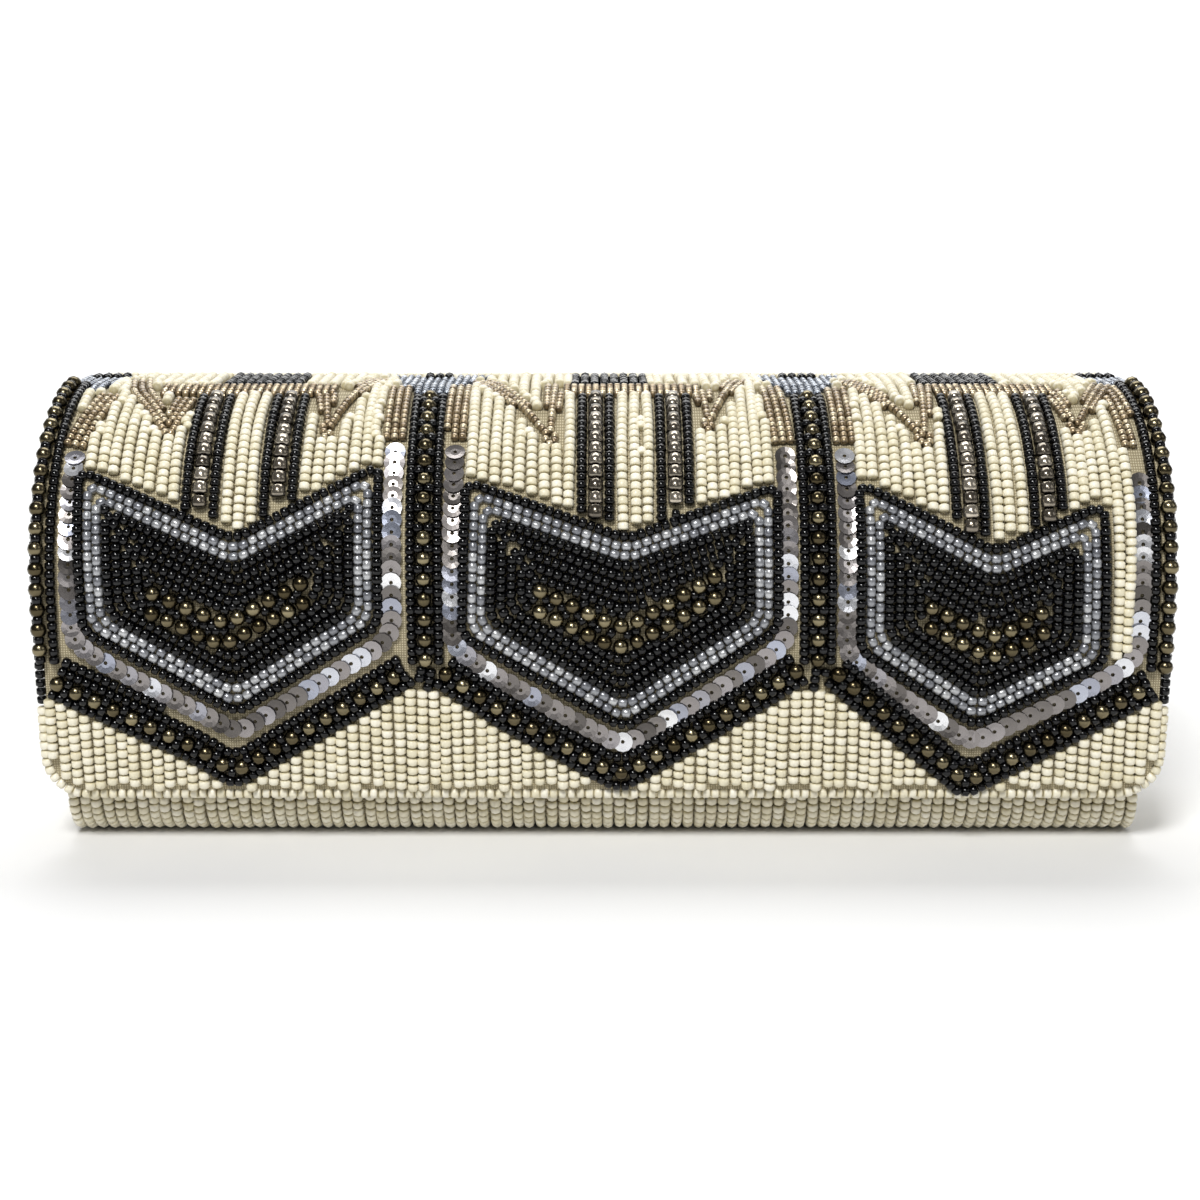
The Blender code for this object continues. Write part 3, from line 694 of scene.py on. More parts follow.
SEQUIN_LINES = [
    [(-106.6, 44.0), (-106.4, 84.0), (-100.0, 88.8), (-83.3, 98.1), (-74.0, 103.3), (-58.2, 93.6),
     (-45.2, 85.5), (-42.3, 82.5), (-42.0, 42.5)],
    [(-29.9, 42.5), (-30.2, 85.0), (-23.5, 90.3), (-6.2, 100.6), (4.0, 106.2), (22.4, 94.6), (34.6, 86.4),
     (37.0, 83.0), (36.8, 43.5)],
    [(48.8, 43.5), (48.9, 87.0), (59.6, 95.4), (74.6, 105.6), (96.5, 94.8), (105.4, 89.4), (107.4, 86.0),
     (107.6, 50.0)]]
CHAMPAGNE_BANDS = [[(-93.0, 20.6), (-56.0, 20.6)], [(-8.3, 20.6), (20.4, 20.6)], [(69.6, 20.6), (94.8, 20.6)]]
CHAMPAGNE_VEES = [
    [(-99.5, 10.0), (-97.0, 22.0), (-88.8, 37.0), (-86.8, 26.0)],
    [(-57.8, 24.0), (-56.2, 38.0), (-48.0, 9.0)],
    [(-26.0, 13.0), (-10.8, 40.0), (-10.0, 17.5)], [(20.8, 22.0), (21.6, 36.0), (28.8, 12.0)],
    [(51.4, 13.0), (65.4, 40.5), (67.4, 17.5)], [(94.0, 22.0), (96.8, 37.0), (106.0, 17.0)]]
CHAMPAGNE_PATCHES = [
    [(-103.0, 24.0), (-107.2, 42.5)], [(-42.6, 19.0), (-42.4, 40.5)], [(-30.0, 18.0), (-30.2, 40.5)],
    [(35.2, 19.0), (36.6, 41.5)], [(49.0, 20.0), (49.0, 41.5)], [(106.4, 19.0), (107.6, 42.5)]]
JET_BARS = [(-80.8, -64.8), (-7.0, 9.6), (67.6, 83.4)]
BLUE_CAPS = [
    [(-113.5, 1.0), (-101.5, 1.0), (-106.5, 21.5), (-113.5, 21.5)],
    [(-46.0, 1.0), (-23.5, 1.0), (-30.0, 16.5), (-30.0, 22.5), (-42.5, 22.5), (-42.5, 18.0)],
    [(32.0, 1.0), (52.5, 1.0), (47.5, 18.0), (47.5, 22.5), (36.5, 22.5), (36.5, 18.0)],
    [(101.0, 1.0), (113.5, 1.0), (113.5, 20.0), (107.5, 17.5)]]
JET_CAPS = [(-112.0, -104.5), (-39.0, -32.5), (38.5, 46.5), (104.0, 112.0)]
EDGE = FLAP_HALF / MM - 0.5                            # the last bead's middle stays inside the cloth's edge
LAST = FLAP_LENGTH / MM


# %% Medallions: silver ring, jet rows outside and inside, gold heart
def in_polygon(polygon, across, along):
    """Even-odd test of a point in a closed outline."""
    found = False
    for (x0, y0), (x1, y1) in zip(polygon, polygon[1:] + polygon[:1]):
        if (y0 > along) != (y1 > along) and across < x0 + (along - y0) * (x1 - x0) / (y1 - y0):
            found = not found
    return found


def gap_to(line, across, along, closed=False):
    """Shortest distance from a point to a line."""
    spot, ends = Vector((across, along)), line[1:] + line[:1] * closed
    nearest = 1e9
    for a, b in zip(line, ends):
        a, b = Vector(a), Vector(b)
        share = max(0.0, min(1.0, (spot - a).dot(b - a) / (b - a).length_squared))
        nearest = min(nearest, (spot - a.lerp(b, share)).length)
    return nearest


def plug_gaps(kind, polygon, margin):
    """Single beads in whatever holes are left inside an outline."""
    wide, tall = [x for x, _ in polygon], [y for _, y in polygon]
    for along in np.arange(min(tall), max(tall), 0.4):
        for across in np.arange(min(wide), max(wide), 0.4):
            if in_polygon(polygon, across, along) and gap_to(polygon, across, along, True) > margin:
                lay_one(kind, across, along)


# The medallions are drawn clockwise on the cloth, so their insides lie at positive distances.
for ring, hearts in zip(MEDALLIONS, GOLD_HEARTS):
    couch("silver", ring, (-0.92, 0.92), closed=True)
    couch("black", ring, (-2.90,), closed=True)
    for heart in hearts:
        couch("gold", heart, pitch=3.45)
    for row in range(9):
        depth = 2.80 + 2.02 * row

        def open_ground(across, along, depth=depth, ring=ring):
            return in_polygon(ring, across, along) and gap_to(ring, across, along, True) > depth - 0.5

        couch("black", ring, (depth,), closed=True, within=open_ground)
    plug_gaps("black", ring, 2.5)
print("medallions:", {kind: len(spots) for kind, spots in laid.items() if spots})

# %% Borders, stripes and sequins
JET_BESIDE_GOLD = 2.66                                 # from the gold line to the jet row on either side
JET_INSIDE_GOLD = 4.75                                 # to a second row, towards the sequins
JET_BESIDE_BUGLE = 2.8
RING_EDGE = 3.6                                        # from a medallion's line to a stripe's last bead
SEQUIN_PITCH, SEQUIN_LEAN = 2.6, 0.12

for line in GOLD_COLUMNS + GOLD_POINTS:
    gold_and_jet(line)
for line in GOLD_COLUMNS + GOLD_POINTS:
    couch("black", line, (JET_BESIDE_GOLD, -JET_BESIDE_GOLD), within=lambda across, along: abs(across) < EDGE)
for line in GOLD_POINTS:
    couch("black", line, (-JET_INSIDE_GOLD,), within=lambda across, along: all(
        gap_to(film, across, along) > 2.6 for film in SEQUIN_LINES))
for line in JET_KNOTS:
    couch("black", line, (0.0, 2.0, -2.0), within=lambda across, along: along < 95.5)
for line in JET_BENDS:
    couch("black", line)

for (across, bottom), ring in zip(STRIPES, [ring for ring in MEDALLIONS for _ in range(2)]):
    def above(across, along, ring=ring):
        return not in_polygon(ring, across, along) and gap_to(ring, across, along, True) > RING_EDGE

    line = [(across, 24.5), (across, bottom)]
    couch("bugle", line, within=above)
    couch("black", line, (-JET_BESIDE_BUGLE, JET_BESIDE_BUGLE), within=above)
    for aside in (-JET_BESIDE_BUGLE, 0.0, JET_BESIDE_BUGLE):
        for along in np.arange(bottom, bottom - 7.0, -0.3):
            if above(across + aside, along):
                lay_one("black", across + aside, along)

for line in SEQUIN_LINES:
    for across, along, heading in stations(eased(line), SEQUIN_PITCH):
        laid["sequin"].append((across, along, heading, BEADS["sequin"][2], SEQUIN_LEAN))

# %% The champagne scrolls, jet bars and blue-grey caps over the round
for line in CHAMPAGNE_BANDS:
    couch("champagne", line, (-2.4, -0.8, 0.8, 2.4))
for line in CHAMPAGNE_VEES + CHAMPAGNE_PATCHES:
    couch("champagne", line, (0.0, -1.62, 1.62))


def rows_in(kind, low, high, start, stop, within=None):
    """Upright rows that fill a patch of cloth."""
    pitch = BEADS[kind][0] * 0.97
    for number in range(round((high - low) / pitch)):
        across = low + pitch * (number + 0.5)
        lay(kind, stations([Vector((across, start)), Vector((across, stop))], BEADS[kind][1] * 1.05), within)


for low, high in JET_BARS:
    rows_in("black", low, high, 0.8, 17.2)
for low, high in JET_CAPS:
    rows_in("black", low, high, 0.8, 4.6)
for cap in BLUE_CAPS:
    edges = [across for across, _ in cap]
    rows_in("blue_grey", min(edges), max(edges), 0.8, 23.0,
            within=lambda across, along, cap=cap: in_polygon(cap, across, along))
print("design:", {kind: len(spots) for kind, spots in laid.items() if spots})

# %% [markdown]
# ## The ivory ground
#
# What the design leaves bare is filled with upright columns of ivory beads, a needleful at a time. A column
# starts at the fold and runs down. Where something is in the way it stops, and it starts again as close as
# a bead will fit on the other side. Columns wander by a few tenths of a millimetre.

# %% Ivory columns on the flap
# Lines, and how far from each an ivory bead's middle stays. The last stretch of sequins laps over its ivory.
KEEP_OUT = [(line, 2.9) for line in GOLD_COLUMNS + GOLD_POINTS]
KEEP_OUT += [(line, 3.0) for line in SEQUIN_LINES[:2] + [SEQUIN_LINES[2][:5]]]
KEEP_OUT += [(SEQUIN_LINES[2][4:], 2.1)]
KEEP_OUT += [(line, 2.85) for line in CHAMPAGNE_VEES + CHAMPAGNE_PATCHES]
KEEP_OUT += [(line, 3.6) for line in CHAMPAGNE_BANDS]
BORDERED = [
    [(left[0][0], 0.0), (left[-1][0], left[-1][1]), *point, (right[-1][0], right[-1][1]), (right[0][0], 0.0)]
    for left, point, right in zip(GOLD_COLUMNS, GOLD_POINTS, GOLD_COLUMNS[1:])]


def ivory_may_lie(across, along):
    """Outside the medallions, the caps and the borders."""
    if any(in_polygon(ring, across, along) for ring in MEDALLIONS + BLUE_CAPS):
        return False
    return all(gap_to(line, across, along) > width for line, width in KEEP_OUT)


def below_the_borders(across, along):
    return ivory_may_lie(across, along) and not any(in_polygon(panel, across, along) for panel in BORDERED)


def fill_column(across, start, stop, tree=None, allowed=None, pitch=1.82, ends_below=1e9, room=0.98):
    """Spots down one column, each bead as soon as it fits; past ends_below the first obstacle ends it."""
    spots, along, phase = [], start + hand.uniform(0.0, 0.8), hand.uniform(0.0, 6.28)
    while along < stop:
        at = across + 0.14 * math.sin(phase + along / 6.5)
        if (tree is None or clear(tree, at, along, room)) and (allowed is None or allowed(at, along)):
            spots.append((at, along, math.pi / 2, BEADS["ivory"][2], 0.0))
            along += pitch * hand.uniform(0.95, 1.05)
        elif along > ends_below:
            break
        else:
            along += 0.3
    return spots


def evenly(low, high, pitch):
    """Middles of the columns that fill a width."""
    count = round((high - low) / pitch)
    return [low + (high - low) * (number + 0.5) / count for number in range(count)]


COLUMN_PITCH = 2.36
CORNER = 7.0                                           # round of the flap's lower corners, inside the edging
STRIPE_HALF = 4.1                                      # from a stripe's middle to the first ivory bead's side
BORDER_HALF = 8.2                                      # from a gold column's middle, past jet and sequins
COLUMN_HALF = 3.7                                      # of a gold column and its jet rows
LAST_STRIP = 100.5                                     # beyond this the columns run down past the medallion
border_places = [line[0][0] for line in GOLD_COLUMNS]
upper_columns = []
for number, left in enumerate(border_places[:3]):
    first, second = STRIPES[2 * number][0], STRIPES[2 * number + 1][0]
    right = border_places[number + 1] - (BORDER_HALF if number < 2 else 6.6)
    for low, high in ((left + BORDER_HALF, first - STRIPE_HALF), (first + STRIPE_HALF, second - STRIPE_HALF),
                      (second + STRIPE_HALF, right)):
        upper_columns += evenly(low, high, COLUMN_PITCH)
beside_columns = [
    place + side * reach for place in border_places for side in (-1, 1) for reach in (5.0, 7.2)
    if abs(place + side * reach) < EDGE]
tree = memory()
for across in upper_columns:
    last = 88.0 if across > LAST_STRIP else 45.0
    laid["ivory"] += fill_column(across, 0.9, 90.0, tree, ivory_may_lie, ends_below=last)
for across in beside_columns:
    laid["ivory"] += fill_column(across, 0.9, 41.0, tree, ivory_may_lie)
over_the_stripes = [(across, STRIPE_HALF) for across, _ in STRIPES]
over_the_borders = [(place, COLUMN_HALF) for place in border_places]
for middle, half in over_the_stripes + over_the_borders:
    for across in evenly(middle - half, middle + half, COLUMN_PITCH):
        if abs(across) < EDGE:
            laid["ivory"] += fill_column(across, 0.9, 23.0, tree, ivory_may_lie)
for across in evenly(-EDGE - 1.1, EDGE + 1.1, COLUMN_PITCH):
    into_corner = max(0.0, abs(across) - EDGE + CORNER) / CORNER
    rise = CORNER * (1 - math.sqrt(max(0.0, 1 - into_corner ** 2)))
    laid["ivory"] += fill_column(across, 88.0, LAST - 2.6 - rise, tree, below_the_borders)
taken.extend((across, along, 0.98) for across, along, *_ in laid["ivory"])
print("ivory beads on the flap:", len(laid["ivory"]))

# %% [markdown]
# Where a scroll cuts across a column, or the cloth widens, a gap stays that is nearly a bead wide. Loose
# beads are sewn into those last, a little closer than the columns.

# %% Ivory beads sewn into the gaps
for shift in (0.25, 0.5, 0.75, 0.12, 0.62, 0.38, 0.88):
    tree = memory()
    for across in upper_columns:
        place = across + shift * COLUMN_PITCH
        if abs(place) < EDGE:
            fresh = fill_column(place, 0.9, 72.0, tree, ivory_may_lie, ends_below=45.0, room=0.78)
            laid["ivory"] += fresh
            taken.extend((across, along, 0.90) for across, along, *_ in fresh)
print("with the gaps sewn:", len(laid["ivory"]))

# %% [markdown]
# The jet and ivory beads are cut into three pieces by panel, so that no one mesh grows too heavy.

# %% The flap's beads
FLAP_STOCK = {
    "ivory": (ivory_glass, "ivory_glass_beads"), "black": (jet_glass, "jet_glass_beads"),
    "gold": (antique_gold, "antique_gold_beads"), "silver": (silver_lined, "silver_lined_beads"),
    "champagne": (champagne_glass, "champagne_beads"), "blue_grey": (blue_grey_glass, "silver_lined_beads"),
    "bugle": (smoky_bugle, "silver_lined_beads"), "sequin": (pewter_film_painted_reflections, "pewter_sequins")}
PANELS = {"left": (-999.0, -35.8), "middle": (-35.8, 42.9), "right": (42.9, 999.0)}
for number, (kind, (material, slot)) in enumerate(FLAP_STOCK.items()):
    spots = laid[kind]
    split = PANELS if kind in ("ivory", "black") else {"all": (-999.0, 999.0)}
    for place, (low, high) in split.items():
        mine = [spot for spot in spots if low <= spot[0] < high]
        name = f"flap_{kind}_beads_{place}" if place != "all" else f"flap_{kind}_beads"
        piece = strung(name.replace("sequin_beads", "sequins"), kind, mine, on_flap, material, 100 + number)
        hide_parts("flap_bead_panel")
        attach(piece, "flap")

# %% [markdown]
# ## Bead edging and the fold
#
# The flap's raw edge is hidden by a single row of beads whipped over it: jet where the dark border meets
# the edge, ivory elsewhere. A row of ivory beads threaded along the fold covers the hinge.


# %% Edging row
def edge_route():
    """Middle line of the edging, flat: down the left side, round both lower corners and up the right."""
    half, end, bend = 113.5, LAST - 0.9, 8.1
    corner = [
        (bend - half - bend * math.cos(turn), end - bend + bend * math.sin(turn))
        for turn in np.linspace(0.0, math.pi / 2, 9)]
    left = [(-half, 0.6)] + corner
    return [Vector(point) for point in left + [(-across, along) for across, along in reversed(left)]]


def beside_border(spot):
    """Whether this spot of the edging lies beside the gold and jet border."""
    return abs(spot[0]) > 112.5 and 14.0 < spot[1] < 98.5


ivory_edge, jet_edge = [
    [(*spot, -0.1, 0.0) for spot in stations(edge_route(), pitch) if beside_border(spot) == jet]
    for pitch, jet in ((1.84, False), (1.80, True))]
for name, kind, spots, material, slot in (
        ("flap_edging_ivory", "ivory", ivory_edge, ivory_glass, "ivory_glass_beads"),
        ("flap_edging_jet", "black", jet_edge, jet_glass, "jet_glass_beads")):
    piece = strung(name, kind, spots, on_flap, material, 31)
    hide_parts("flap_edging")
    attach(piece, "flap")

# %% [markdown]
# ## The case's beadwork
#
# Back, bottom and the low strip of the front are one cloth in ivory columns. Both ends are ivory too.

# %% Case columns
case_columns = round(2 * (PANEL_HALF / MM - 1.1) / COLUMN_PITCH)
case_spots = []
for number in range(case_columns + 1):
    across = (PANEL_HALF / MM - 1.1) * (2 * number / case_columns - 1)
    case_spots += fill_column(across, 0.9, CASE_LENGTH / MM - 0.8)
back_end, bottom_end = case_marks[0] / MM, case_marks[2] / MM
CASE_PIECES = {
    "case_back_beads_left": lambda a, b: b < back_end and a < 0,
    "case_back_beads_right": lambda a, b: b < back_end and a >= 0,
    "case_bottom_beads": lambda a, b: back_end <= b < bottom_end,
    "case_front_beads": lambda a, b: b >= bottom_end}
for number, (name, chosen) in enumerate(CASE_PIECES.items()):
    spots = [spot for spot in case_spots if chosen(spot[0], spot[1])]
    piece = strung(name, "ivory", spots, on_case, ivory_glass, 200 + number)
    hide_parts("case_bead_panel")
    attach(piece, "case")


# %% Beaded ends
def end_profile(node):
    """The convex outline of an end, as (y, z) points in millimetres."""
    corners = [vertex.co for vertex in NODES[node].data.vertices]
    flat = sorted({(round(corner.y / MM, 3), round(corner.z / MM, 3)) for corner in corners})
    return [flat[number] for number in geometry.convex_hull_2d(flat)]


for side, end in ((-1, "left"), (1, "right")):
    profile = end_profile(end + "_end_bead_panel")
    depths = [y for y, _ in profile]
    spots = []
    count = round((max(depths) - min(depths) - 2.4) / COLUMN_PITCH)
    for number in range(count + 1):
        across = min(depths) + 1.2 + (max(depths) - min(depths) - 2.4) * number / count

        def within(a, b, profile=profile):
            return in_polygon(profile, a, b) and gap_to(profile, a, b, True) > 1.0

        spots += fill_column(across, 0.9, 92.0, None, within)
    piece = strung(end + "_end_beads", "ivory", spots, on_end(side), ivory_glass, 300 + side)
    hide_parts(end + "_end_bead_panel")
    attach(piece, "case")

# %% [markdown]
# ## Cloth and satin
#
# Under the beads lies the ground cloth, and it shows in the small gaps between the rows. Each cloth is cut
# flat: one face in the outline of the piece, sliced into strips so that it can bend, then given its
# thickness and laid on the same section as the beads.


# %% Flat cuts bent to the section
STRIP = 0.003


def sliced(shape, step, low, high, axis):
    """Cuts across every step along one axis, so that the piece can bend there."""
    direction = [0.0, 0.0, 0.0]
    direction[axis] = 1.0
    for number in range(1, math.ceil((high - low) / step)):
        place = [0.0, 0.0, 0.0]
        place[axis] = low + number * step
        geometry_all = shape.verts[:] + shape.edges[:] + shape.faces[:]
        bmesh.ops.bisect_plane(shape, geom=geometry_all, plane_co=place, plane_no=direction)


def flat_cut(corners):
    """A bmesh holding one face, across on X and along on Y, facing up."""
    shape = bmesh.new()
    face = shape.faces.new([shape.verts.new((across, along, 0.0)) for across, along in corners])
    face.normal_update()
    if face.normal.z < 0:
        face.normal_flip()
    return shape


def bent(shape, surface, height):
    """Moves a flat bmesh onto a surface: its own Z is added to the height."""
    places = np.array([vertex.co for vertex in shape.verts])
    for vertex, place in zip(shape.verts, surface(places[:, 0], places[:, 1], places[:, 2] + height)):
        vertex.co = place
    if mirrored(surface):
        bmesh.ops.reverse_faces(shape, faces=shape.faces)


def finished(shape, name, material, body, nodes):
    """The bmesh as a smooth-shaded piece that rides on a body and stands for CAD nodes."""
    for face in shape.faces:
        face.smooth = True
    mesh = bpy.data.meshes.new(name)
    shape.to_mesh(mesh)
    shape.free()
    mesh.set_sharp_from_angle(angle=math.radians(40))
    mesh.materials.append(material)
    piece = bpy.data.objects.new(name, mesh)
    bpy.context.scene.collection.objects.link(piece)
    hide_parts(*nodes)
    if body:
        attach(piece, body)
    return piece


def oblong(half, length):
    """A flat rectangle, as wide as twice half."""
    return flat_cut([(-half, 0.0), (half, 0.0), (half, length), (-half, length)])


def rounded_flap(half, end, bend, start=0.0):
    """The flap's flat outline: square at the fold, rounded at the two lower corners."""
    corner = [
        (half - bend + bend * math.sin(turn), end - bend + bend * math.cos(turn))
        for turn in np.linspace(math.pi / 2, 0.0, 9)]
    right = [(half, start)] + corner
    return right + [(-across, along) for across, along in reversed(right)]


def walled(shape, thickness):
    """Gives the open sheet its thickness, down from the face."""
    bmesh.ops.solidify(shape, geom=shape.faces[:], thickness=thickness)
    bmesh.ops.recalc_face_normals(shape, faces=shape.faces)


shape = flat_cut(rounded_flap(FLAP_HALF, FLAP_LENGTH - 0.0018, 0.0069))
sliced(shape, STRIP, 0.0, FLAP_LENGTH, 1)
sliced(shape, 4 * STRIP, -FLAP_HALF, FLAP_HALF, 0)
walled(shape, CLOTH)
bent(shape, on_flap, CLOTH - BEAD_CLOTH)
flap_cloth = finished(
    shape, "flap_ground_cloth", ground_cotton, "flap", ["flap_bead_panel"])

shape = oblong(PANEL_HALF, CASE_LENGTH)
sliced(shape, STRIP / 2, 0.0, CASE_LENGTH, 1)
sliced(shape, 4 * STRIP, -PANEL_HALF, PANEL_HALF, 0)
walled(shape, CLOTH)
bent(shape, on_case, CLOTH - BEAD_CLOTH)
case_cloth = finished(
    shape, "case_ground_cloth", ground_cotton, "case", ["case_bead_panel"])

for side, end in ((-1, "left"), (1, "right")):
    profile = [(y * MM, z * MM) for y, z in end_profile(end + "_end_bead_panel")]
    shape = flat_cut(profile)
    sliced(shape, 3 * STRIP, 0.0, HEIGHT, 1)
    walled(shape, CLOTH)
    bent(shape, on_end(side), CLOTH - BEAD_CLOTH)
    piece = finished(
        shape, end + "_end_ground_cloth", ground_cotton, "case",
        [end + "_end_bead_panel"])

# %% [markdown]
# The satin pieces are already cut and folded in the frame: the lining pouch, the facing up the back, the
# cover of the front board, the slip pocket and the bindings. A copy of each solid is welded, sliced so
# that it can ripple, and given the slight puckers that glued and stitched satin always has.


# %% Satin from the frame's solids
def satin_copy(node, ripple, body="case"):
    """A welded, sliced copy of a satin node, rippled along its normals by up to this distance."""
    shape = bmesh.new()
    shape.from_mesh(NODES[node].data)
    bmesh.ops.remove_doubles(shape, verts=shape.verts, dist=1e-5)
    bmesh.ops.dissolve_limit(
        shape, angle_limit=math.radians(1.0), verts=shape.verts, edges=shape.edges, delimit={"NORMAL"})
    low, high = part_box(node)
    for axis in (0, 1, 2):
        if high[axis] - low[axis] > 0.01:
            sliced(shape, 0.004, low[axis], high[axis], axis)
    shape.normal_update()
    for vertex in shape.verts:
        wave = noise.noise(vertex.co * 60.0) + 0.5 * noise.noise(vertex.co * 190.0)
        vertex.co += vertex.normal * ripple * wave
    return finished(shape, "satin_" + node, champagne_satin, body, [node])


SATIN = {
    "front_cover": 0.00012, "lining_pouch": 0.00012, "back_facing": 0.00012, "slip_pocket": 0.00012,
    "front_binding": 0.00006, "left_end_binding": 0.00006, "right_end_binding": 0.00006,
    "pocket_binding": 0.00006}
HELD = {
    "front_cover": ("stretched", ["front_board"]),
    "lining_pouch": ("folded", ["back_board", "bottom_board", "front_board"]),
    "slip_pocket": ("hung", ["lining_pouch"])}


for node, ripple in SATIN.items():
    piece = satin_copy(node, ripple)
    if node in HELD:
        low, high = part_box(node)

# %% [markdown]
# The two straight bindings are held by a visible running stitch: short lengths of thread, a little proud of
# the satin, each ending in its needle hole.

# %% Running stitches
# Each stitch is painted darker at its ends: the needle hole, and painted shade where the thread dips into the
# satin.
thread = bead_finish(
    "mercerised_sewing_thread", [(0.0, "#8d7850"), (1.0, "#ab976c")], "#6f5d3c", roughness=0.42)


def on_binding(face_y):
    """The front face of a binding: across runs along X, and along is the height above the floor."""
    def surface(across, along, height):
        across, along, height = np.broadcast_arrays(across, along, height)
        return np.stack([across, face_y - (height + BEAD_CLOTH - CLOTH / 4), along], axis=-1)
    return surface


for node in ("pocket_binding", "front_binding"):
    low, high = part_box(node)
    level, reach = (low.z + 0.0007) / MM, high.x / MM - 2.0
    row = stations([Vector((-reach, level)), Vector((reach, level))], 3.1)
    spots = [(*spot, BEADS["stitch"][2], 0.0) for spot in row]
    piece = strung(node + "_stitches", "stitch", spots, on_binding(low.y), thread, 51)
    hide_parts(node)
    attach(piece, "case")

# %% [markdown]
# The flap's lining is a shallow tray: its edge is turned up round the board and stops under the bead
# edging, so no bare board shows when the flap is open.

# %% The flap's lining
LINING_DEPTH = 0.0040                                  # below the flap's outer face
LINING_HALF = FLAP_HALF + 0.0004                       # past the board's edge, so that the rim clears it
shape = flat_cut(rounded_flap(LINING_HALF, FLAP_LENGTH - 0.0014, 0.0073, -0.0004))
raised = bmesh.ops.extrude_edge_only(shape, edges=shape.edges[:])["geom"]
bmesh.ops.translate(
    shape, verts=[part for part in raised if isinstance(part, bmesh.types.BMVert)], vec=(0, 0, 0.0018))
bmesh.ops.reverse_faces(shape, faces=shape.faces)
bmesh.ops.recalc_face_normals(shape, faces=shape.faces)
walled(shape, 0.0003)
sliced(shape, STRIP, 0.0, FLAP_LENGTH, 1)
sliced(shape, 2 * STRIP, -FLAP_HALF, FLAP_HALF, 0)
for vertex in shape.verts:
    vertex.co.z += 0.00010 * noise.noise(vertex.co * 55.0)
bent(shape, on_flap, -LINING_DEPTH)
flap_satin = finished(shape, "satin_flap_lining", champagne_satin, "flap", ["flap_lining"])

# %% [markdown]
# ## The fold
#
# The hinge is nothing but cloth. Outside it a row of ivory beads is threaded along the fold, and inside it
# a strip of satin passes from the back facing to the flap's lining. Both are wrapped round the joint's axis
# and are attached to neither body.

# %% Fold pieces
_, AXIS_Y, AXIS_Z = frame["joints"][0]["pos_m"]


def arc_strip(name, radius, first, last, thickness, material, nodes):
    """Cloth wrapped round the joint's axis between two angles, measured from straight back."""
    half = PANEL_HALF - 0.0006
    shape = oblong(half, 1.0)
    sliced(shape, 0.1, 0.0, 1.0, 1)
    sliced(shape, 4 * STRIP, -half, half, 0)
    walled(shape, thickness)
    for vertex in shape.verts:
        turn = first + (last - first) * vertex.co.y
        out = radius + vertex.co.z
        vertex.co = (vertex.co.x, AXIS_Y + out * math.cos(turn), AXIS_Z + out * math.sin(turn))
    bmesh.ops.recalc_face_normals(shape, faces=shape.faces)
    return finished(shape, name, material, None, nodes)


def on_fold(across, along, height):
    """Beads along the fold: along is a step sideways from the line at 45 degrees, and height is out from the
    axis along that line.
    """
    out, beside_it = height, along
    y = AXIS_Y + out * math.cos(math.pi / 4) - beside_it * math.sin(math.pi / 4)
    z = AXIS_Z + out * math.sin(math.pi / 4) + beside_it * math.cos(math.pi / 4)
    return np.stack([across, y, z], axis=-1)


fold_cloth = arc_strip(
    "fold_ground_cloth", 0.0007, math.radians(-40), math.radians(130), 0.0003, ground_cotton,
    ["fold_roll"])
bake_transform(fold_cloth)
fold_satin = arc_strip(
    "satin_fold_lining", 0.0017, math.radians(292), math.radians(205), 0.0003, champagne_satin,
    ["fold_roll"])
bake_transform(fold_satin)
# Satin turned over the back board's top edge, from the facing to the fold.
facing_low, facing_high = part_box("back_facing")
EDGE_HALF = facing_high.x
OVERLAP, TURN = 0.0014, 0.0003                         # satin down the facing, and its bend at the top
top_of_board = (BACK_Y - BEAD_CLOTH) - facing_low.y - 0.0002
turn_over = [(OVERLAP, None), (TURN * math.pi / 2, TURN), (top_of_board, None)]
on_back_edge, hem = outline((facing_low.y - 0.0001, facing_high.z - OVERLAP), math.pi, -1, turn_over)
shape = oblong(EDGE_HALF, hem)
sliced(shape, 0.0004, 0.0, hem, 1)
sliced(shape, 4 * STRIP, -EDGE_HALF, EDGE_HALF, 0)
walled(shape, 0.0003)
bent(shape, on_back_edge, 0.0)
finished(shape, "satin_back_edge", champagne_satin, "case", ["back_facing"])
fold_half = PANEL_HALF / MM - 1.0
fold_spots = [
    (a, 0.0, 0.0, 2.65, 0.0)
    for a, _, _ in stations([Vector((-fold_half, 0.0)), Vector((fold_half, 0.0))], 1.74)]
fold_beads = strung("fold_beads", "ivory", fold_spots, on_fold, ivory_glass, 41)
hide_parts("fold_roll")
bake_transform(fold_beads)

# %% [markdown]
# ## Floor, light and camera
#
# A pale sweep: a floor that curves up into a wall behind, so that no horizon shows. A key light high on the
# left, two weaker ones and a pale sky do what a photographer's light tent does, and a last one whitens the
# wall. The camera is a long lens a little above the purse.

# %% Sweep
low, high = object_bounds()
floor_z = low.z - 0.0001
shape = bmesh.new()
ends = [shape.verts.new((across, -1.6, floor_z)) for across in (-2.5, 2.5)]
edge = shape.edges.new(ends)
forward = bmesh.ops.extrude_edge_only(shape, edges=[edge])["geom"]
edge = next(part for part in forward if isinstance(part, bmesh.types.BMEdge))
bmesh.ops.translate(shape, verts=edge.verts, vec=(0, 2.8, 0))
turned = bmesh.ops.spin(
    shape, geom=[edge], cent=(0, 1.2, floor_z + 0.6), axis=(1, 0, 0), angle=math.pi / 2,
    steps=16)["geom_last"]
edge = next(part for part in turned if isinstance(part, bmesh.types.BMEdge))
upward = bmesh.ops.extrude_edge_only(shape, edges=[edge])["geom"]
bmesh.ops.translate(
    shape, verts=[part for part in upward if isinstance(part, bmesh.types.BMVert)], vec=(0, 0, 1.6))
for face in shape.faces:
    face.smooth = True
mesh = bpy.data.meshes.new("sweep")
shape.to_mesh(mesh)
shape.free()
paper, tree, shader = new_finish("white_studio_paper", roughness=0.95)
place = add_node(tree, "TexCoord")
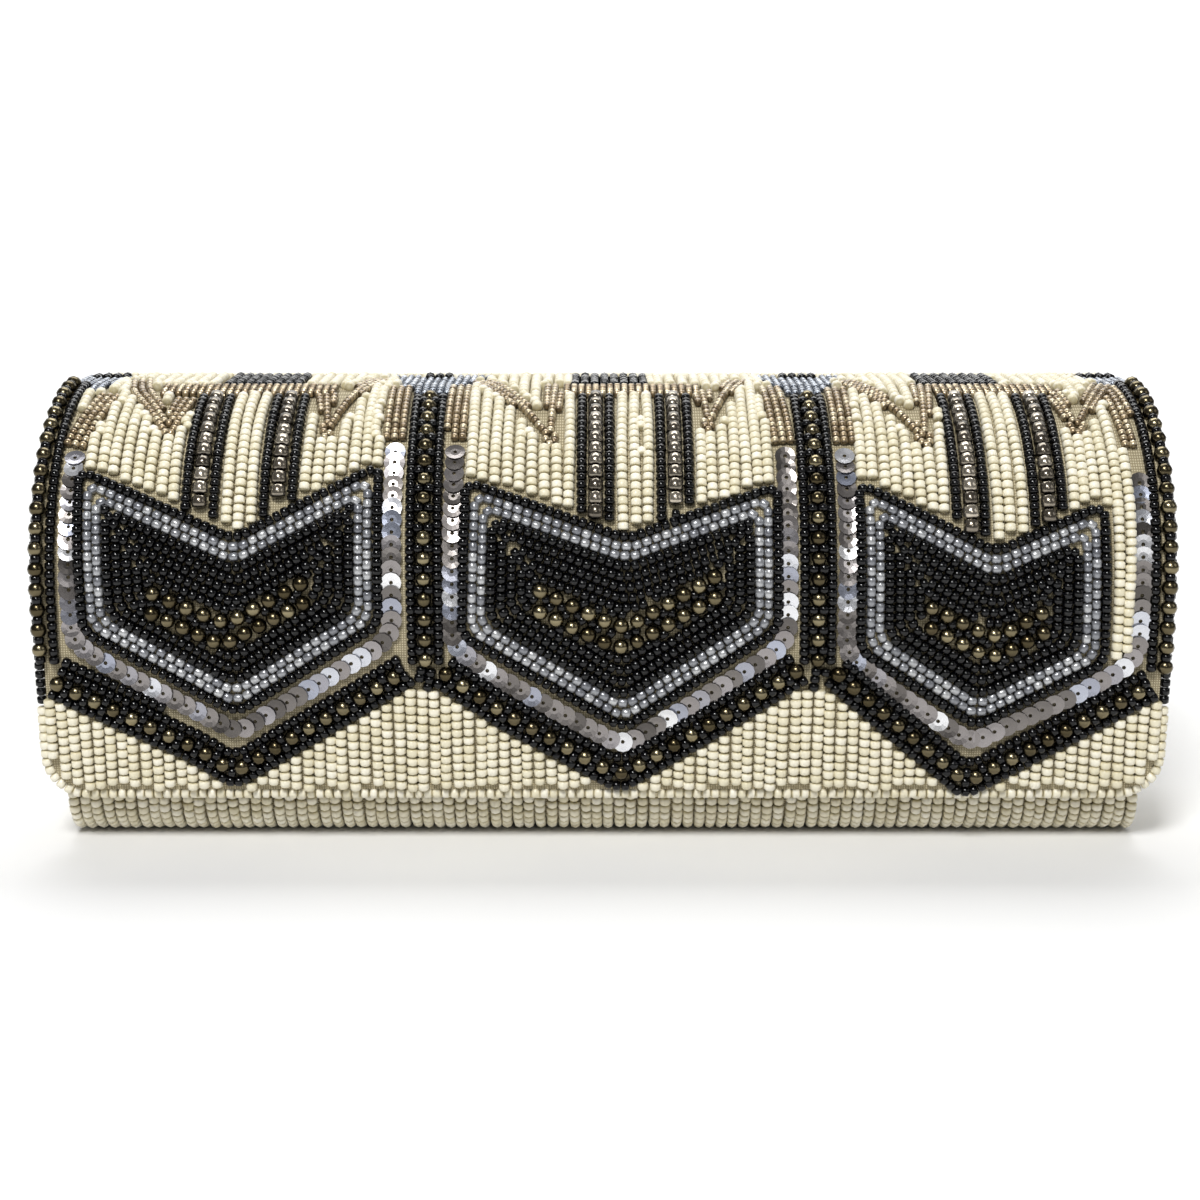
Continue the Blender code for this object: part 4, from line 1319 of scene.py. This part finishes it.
grain = add_node(tree, "TexNoise", inputs={"Vector": place.outputs["Object"], "Scale": 8.0})
ramp = add_node(tree, "ValToRGB", inputs={"Fac": grain.outputs["Fac"]})
colour_stops(ramp, [(0.3, "#ededed"), (0.7, "#f1f1f0")])
tree.links.new(ramp.outputs["Color"], shader.inputs["Base Color"])
mesh.materials.append(paper)
sweep = bpy.data.objects.new("sweep", mesh)
bpy.context.scene.collection.objects.link(sweep)

# %% Lights and sky
LIGHTS = [
    # name, place, size, watts
    ("key", (-0.18, -0.70, 0.88), 0.28, 10.4),
    ("front", (0.14, -1.10, 0.60), 0.25, 0.8),
    ("side", (0.95, -0.35, 0.60), 0.50, 0.7),
    ("back_wall", (0.0, 0.9, 1.5), 1.4, 30.0),
]
for name, place, size, watts in LIGHTS:
    lamp = bpy.data.lights.new(name, "AREA")
    lamp.shape, lamp.size, lamp.energy = "SQUARE", size, watts
    holder = bpy.data.objects.new(name, lamp)
    holder.location = place
    aim = Vector((0, 1.6, 0.4)) if name == "back_wall" else Vector((0, 0, 0.05))
    holder.rotation_euler = (aim - Vector(place)).to_track_quat("-Z", "Y").to_euler()
    bpy.context.scene.collection.objects.link(holder)
world = bpy.data.worlds.new("studio")
world.use_nodes = True
world.node_tree.nodes["Background"].inputs["Color"].default_value = srgb("#ffffff")
# The sky lights the purse softly, but beyond the paper's edges it is seen as white as the paper.
rays = add_node(world.node_tree, "LightPath")
strength = add_node(world.node_tree, "Math", {"operation": "MULTIPLY_ADD"}, {
    0: rays.outputs["Is Camera Ray"], 1: 0.885, 2: 0.115})
world.node_tree.links.new(strength.outputs["Value"], world.node_tree.nodes["Background"].inputs["Strength"])
bpy.context.scene.world = world
bpy.context.scene.view_settings.view_transform = "Standard"

# %% Camera
TARGET = Vector((-0.0006, FRONT_Y, 0.0517))
DISTANCE, ELEVATION = 0.389, math.radians(11.3)
camera = bpy.data.objects.new("camera", bpy.data.cameras.new("camera"))
camera.location = TARGET + DISTANCE * Vector((0, -math.cos(ELEVATION), math.sin(ELEVATION)))
camera.rotation_euler = (TARGET - camera.location).to_track_quat("-Z", "Y").to_euler()
camera.data.sensor_width = 36.0
camera.data.lens = 58.65
camera.data.clip_start = 0.01
bpy.context.scene.collection.objects.link(camera)
bpy.context.scene.camera = camera
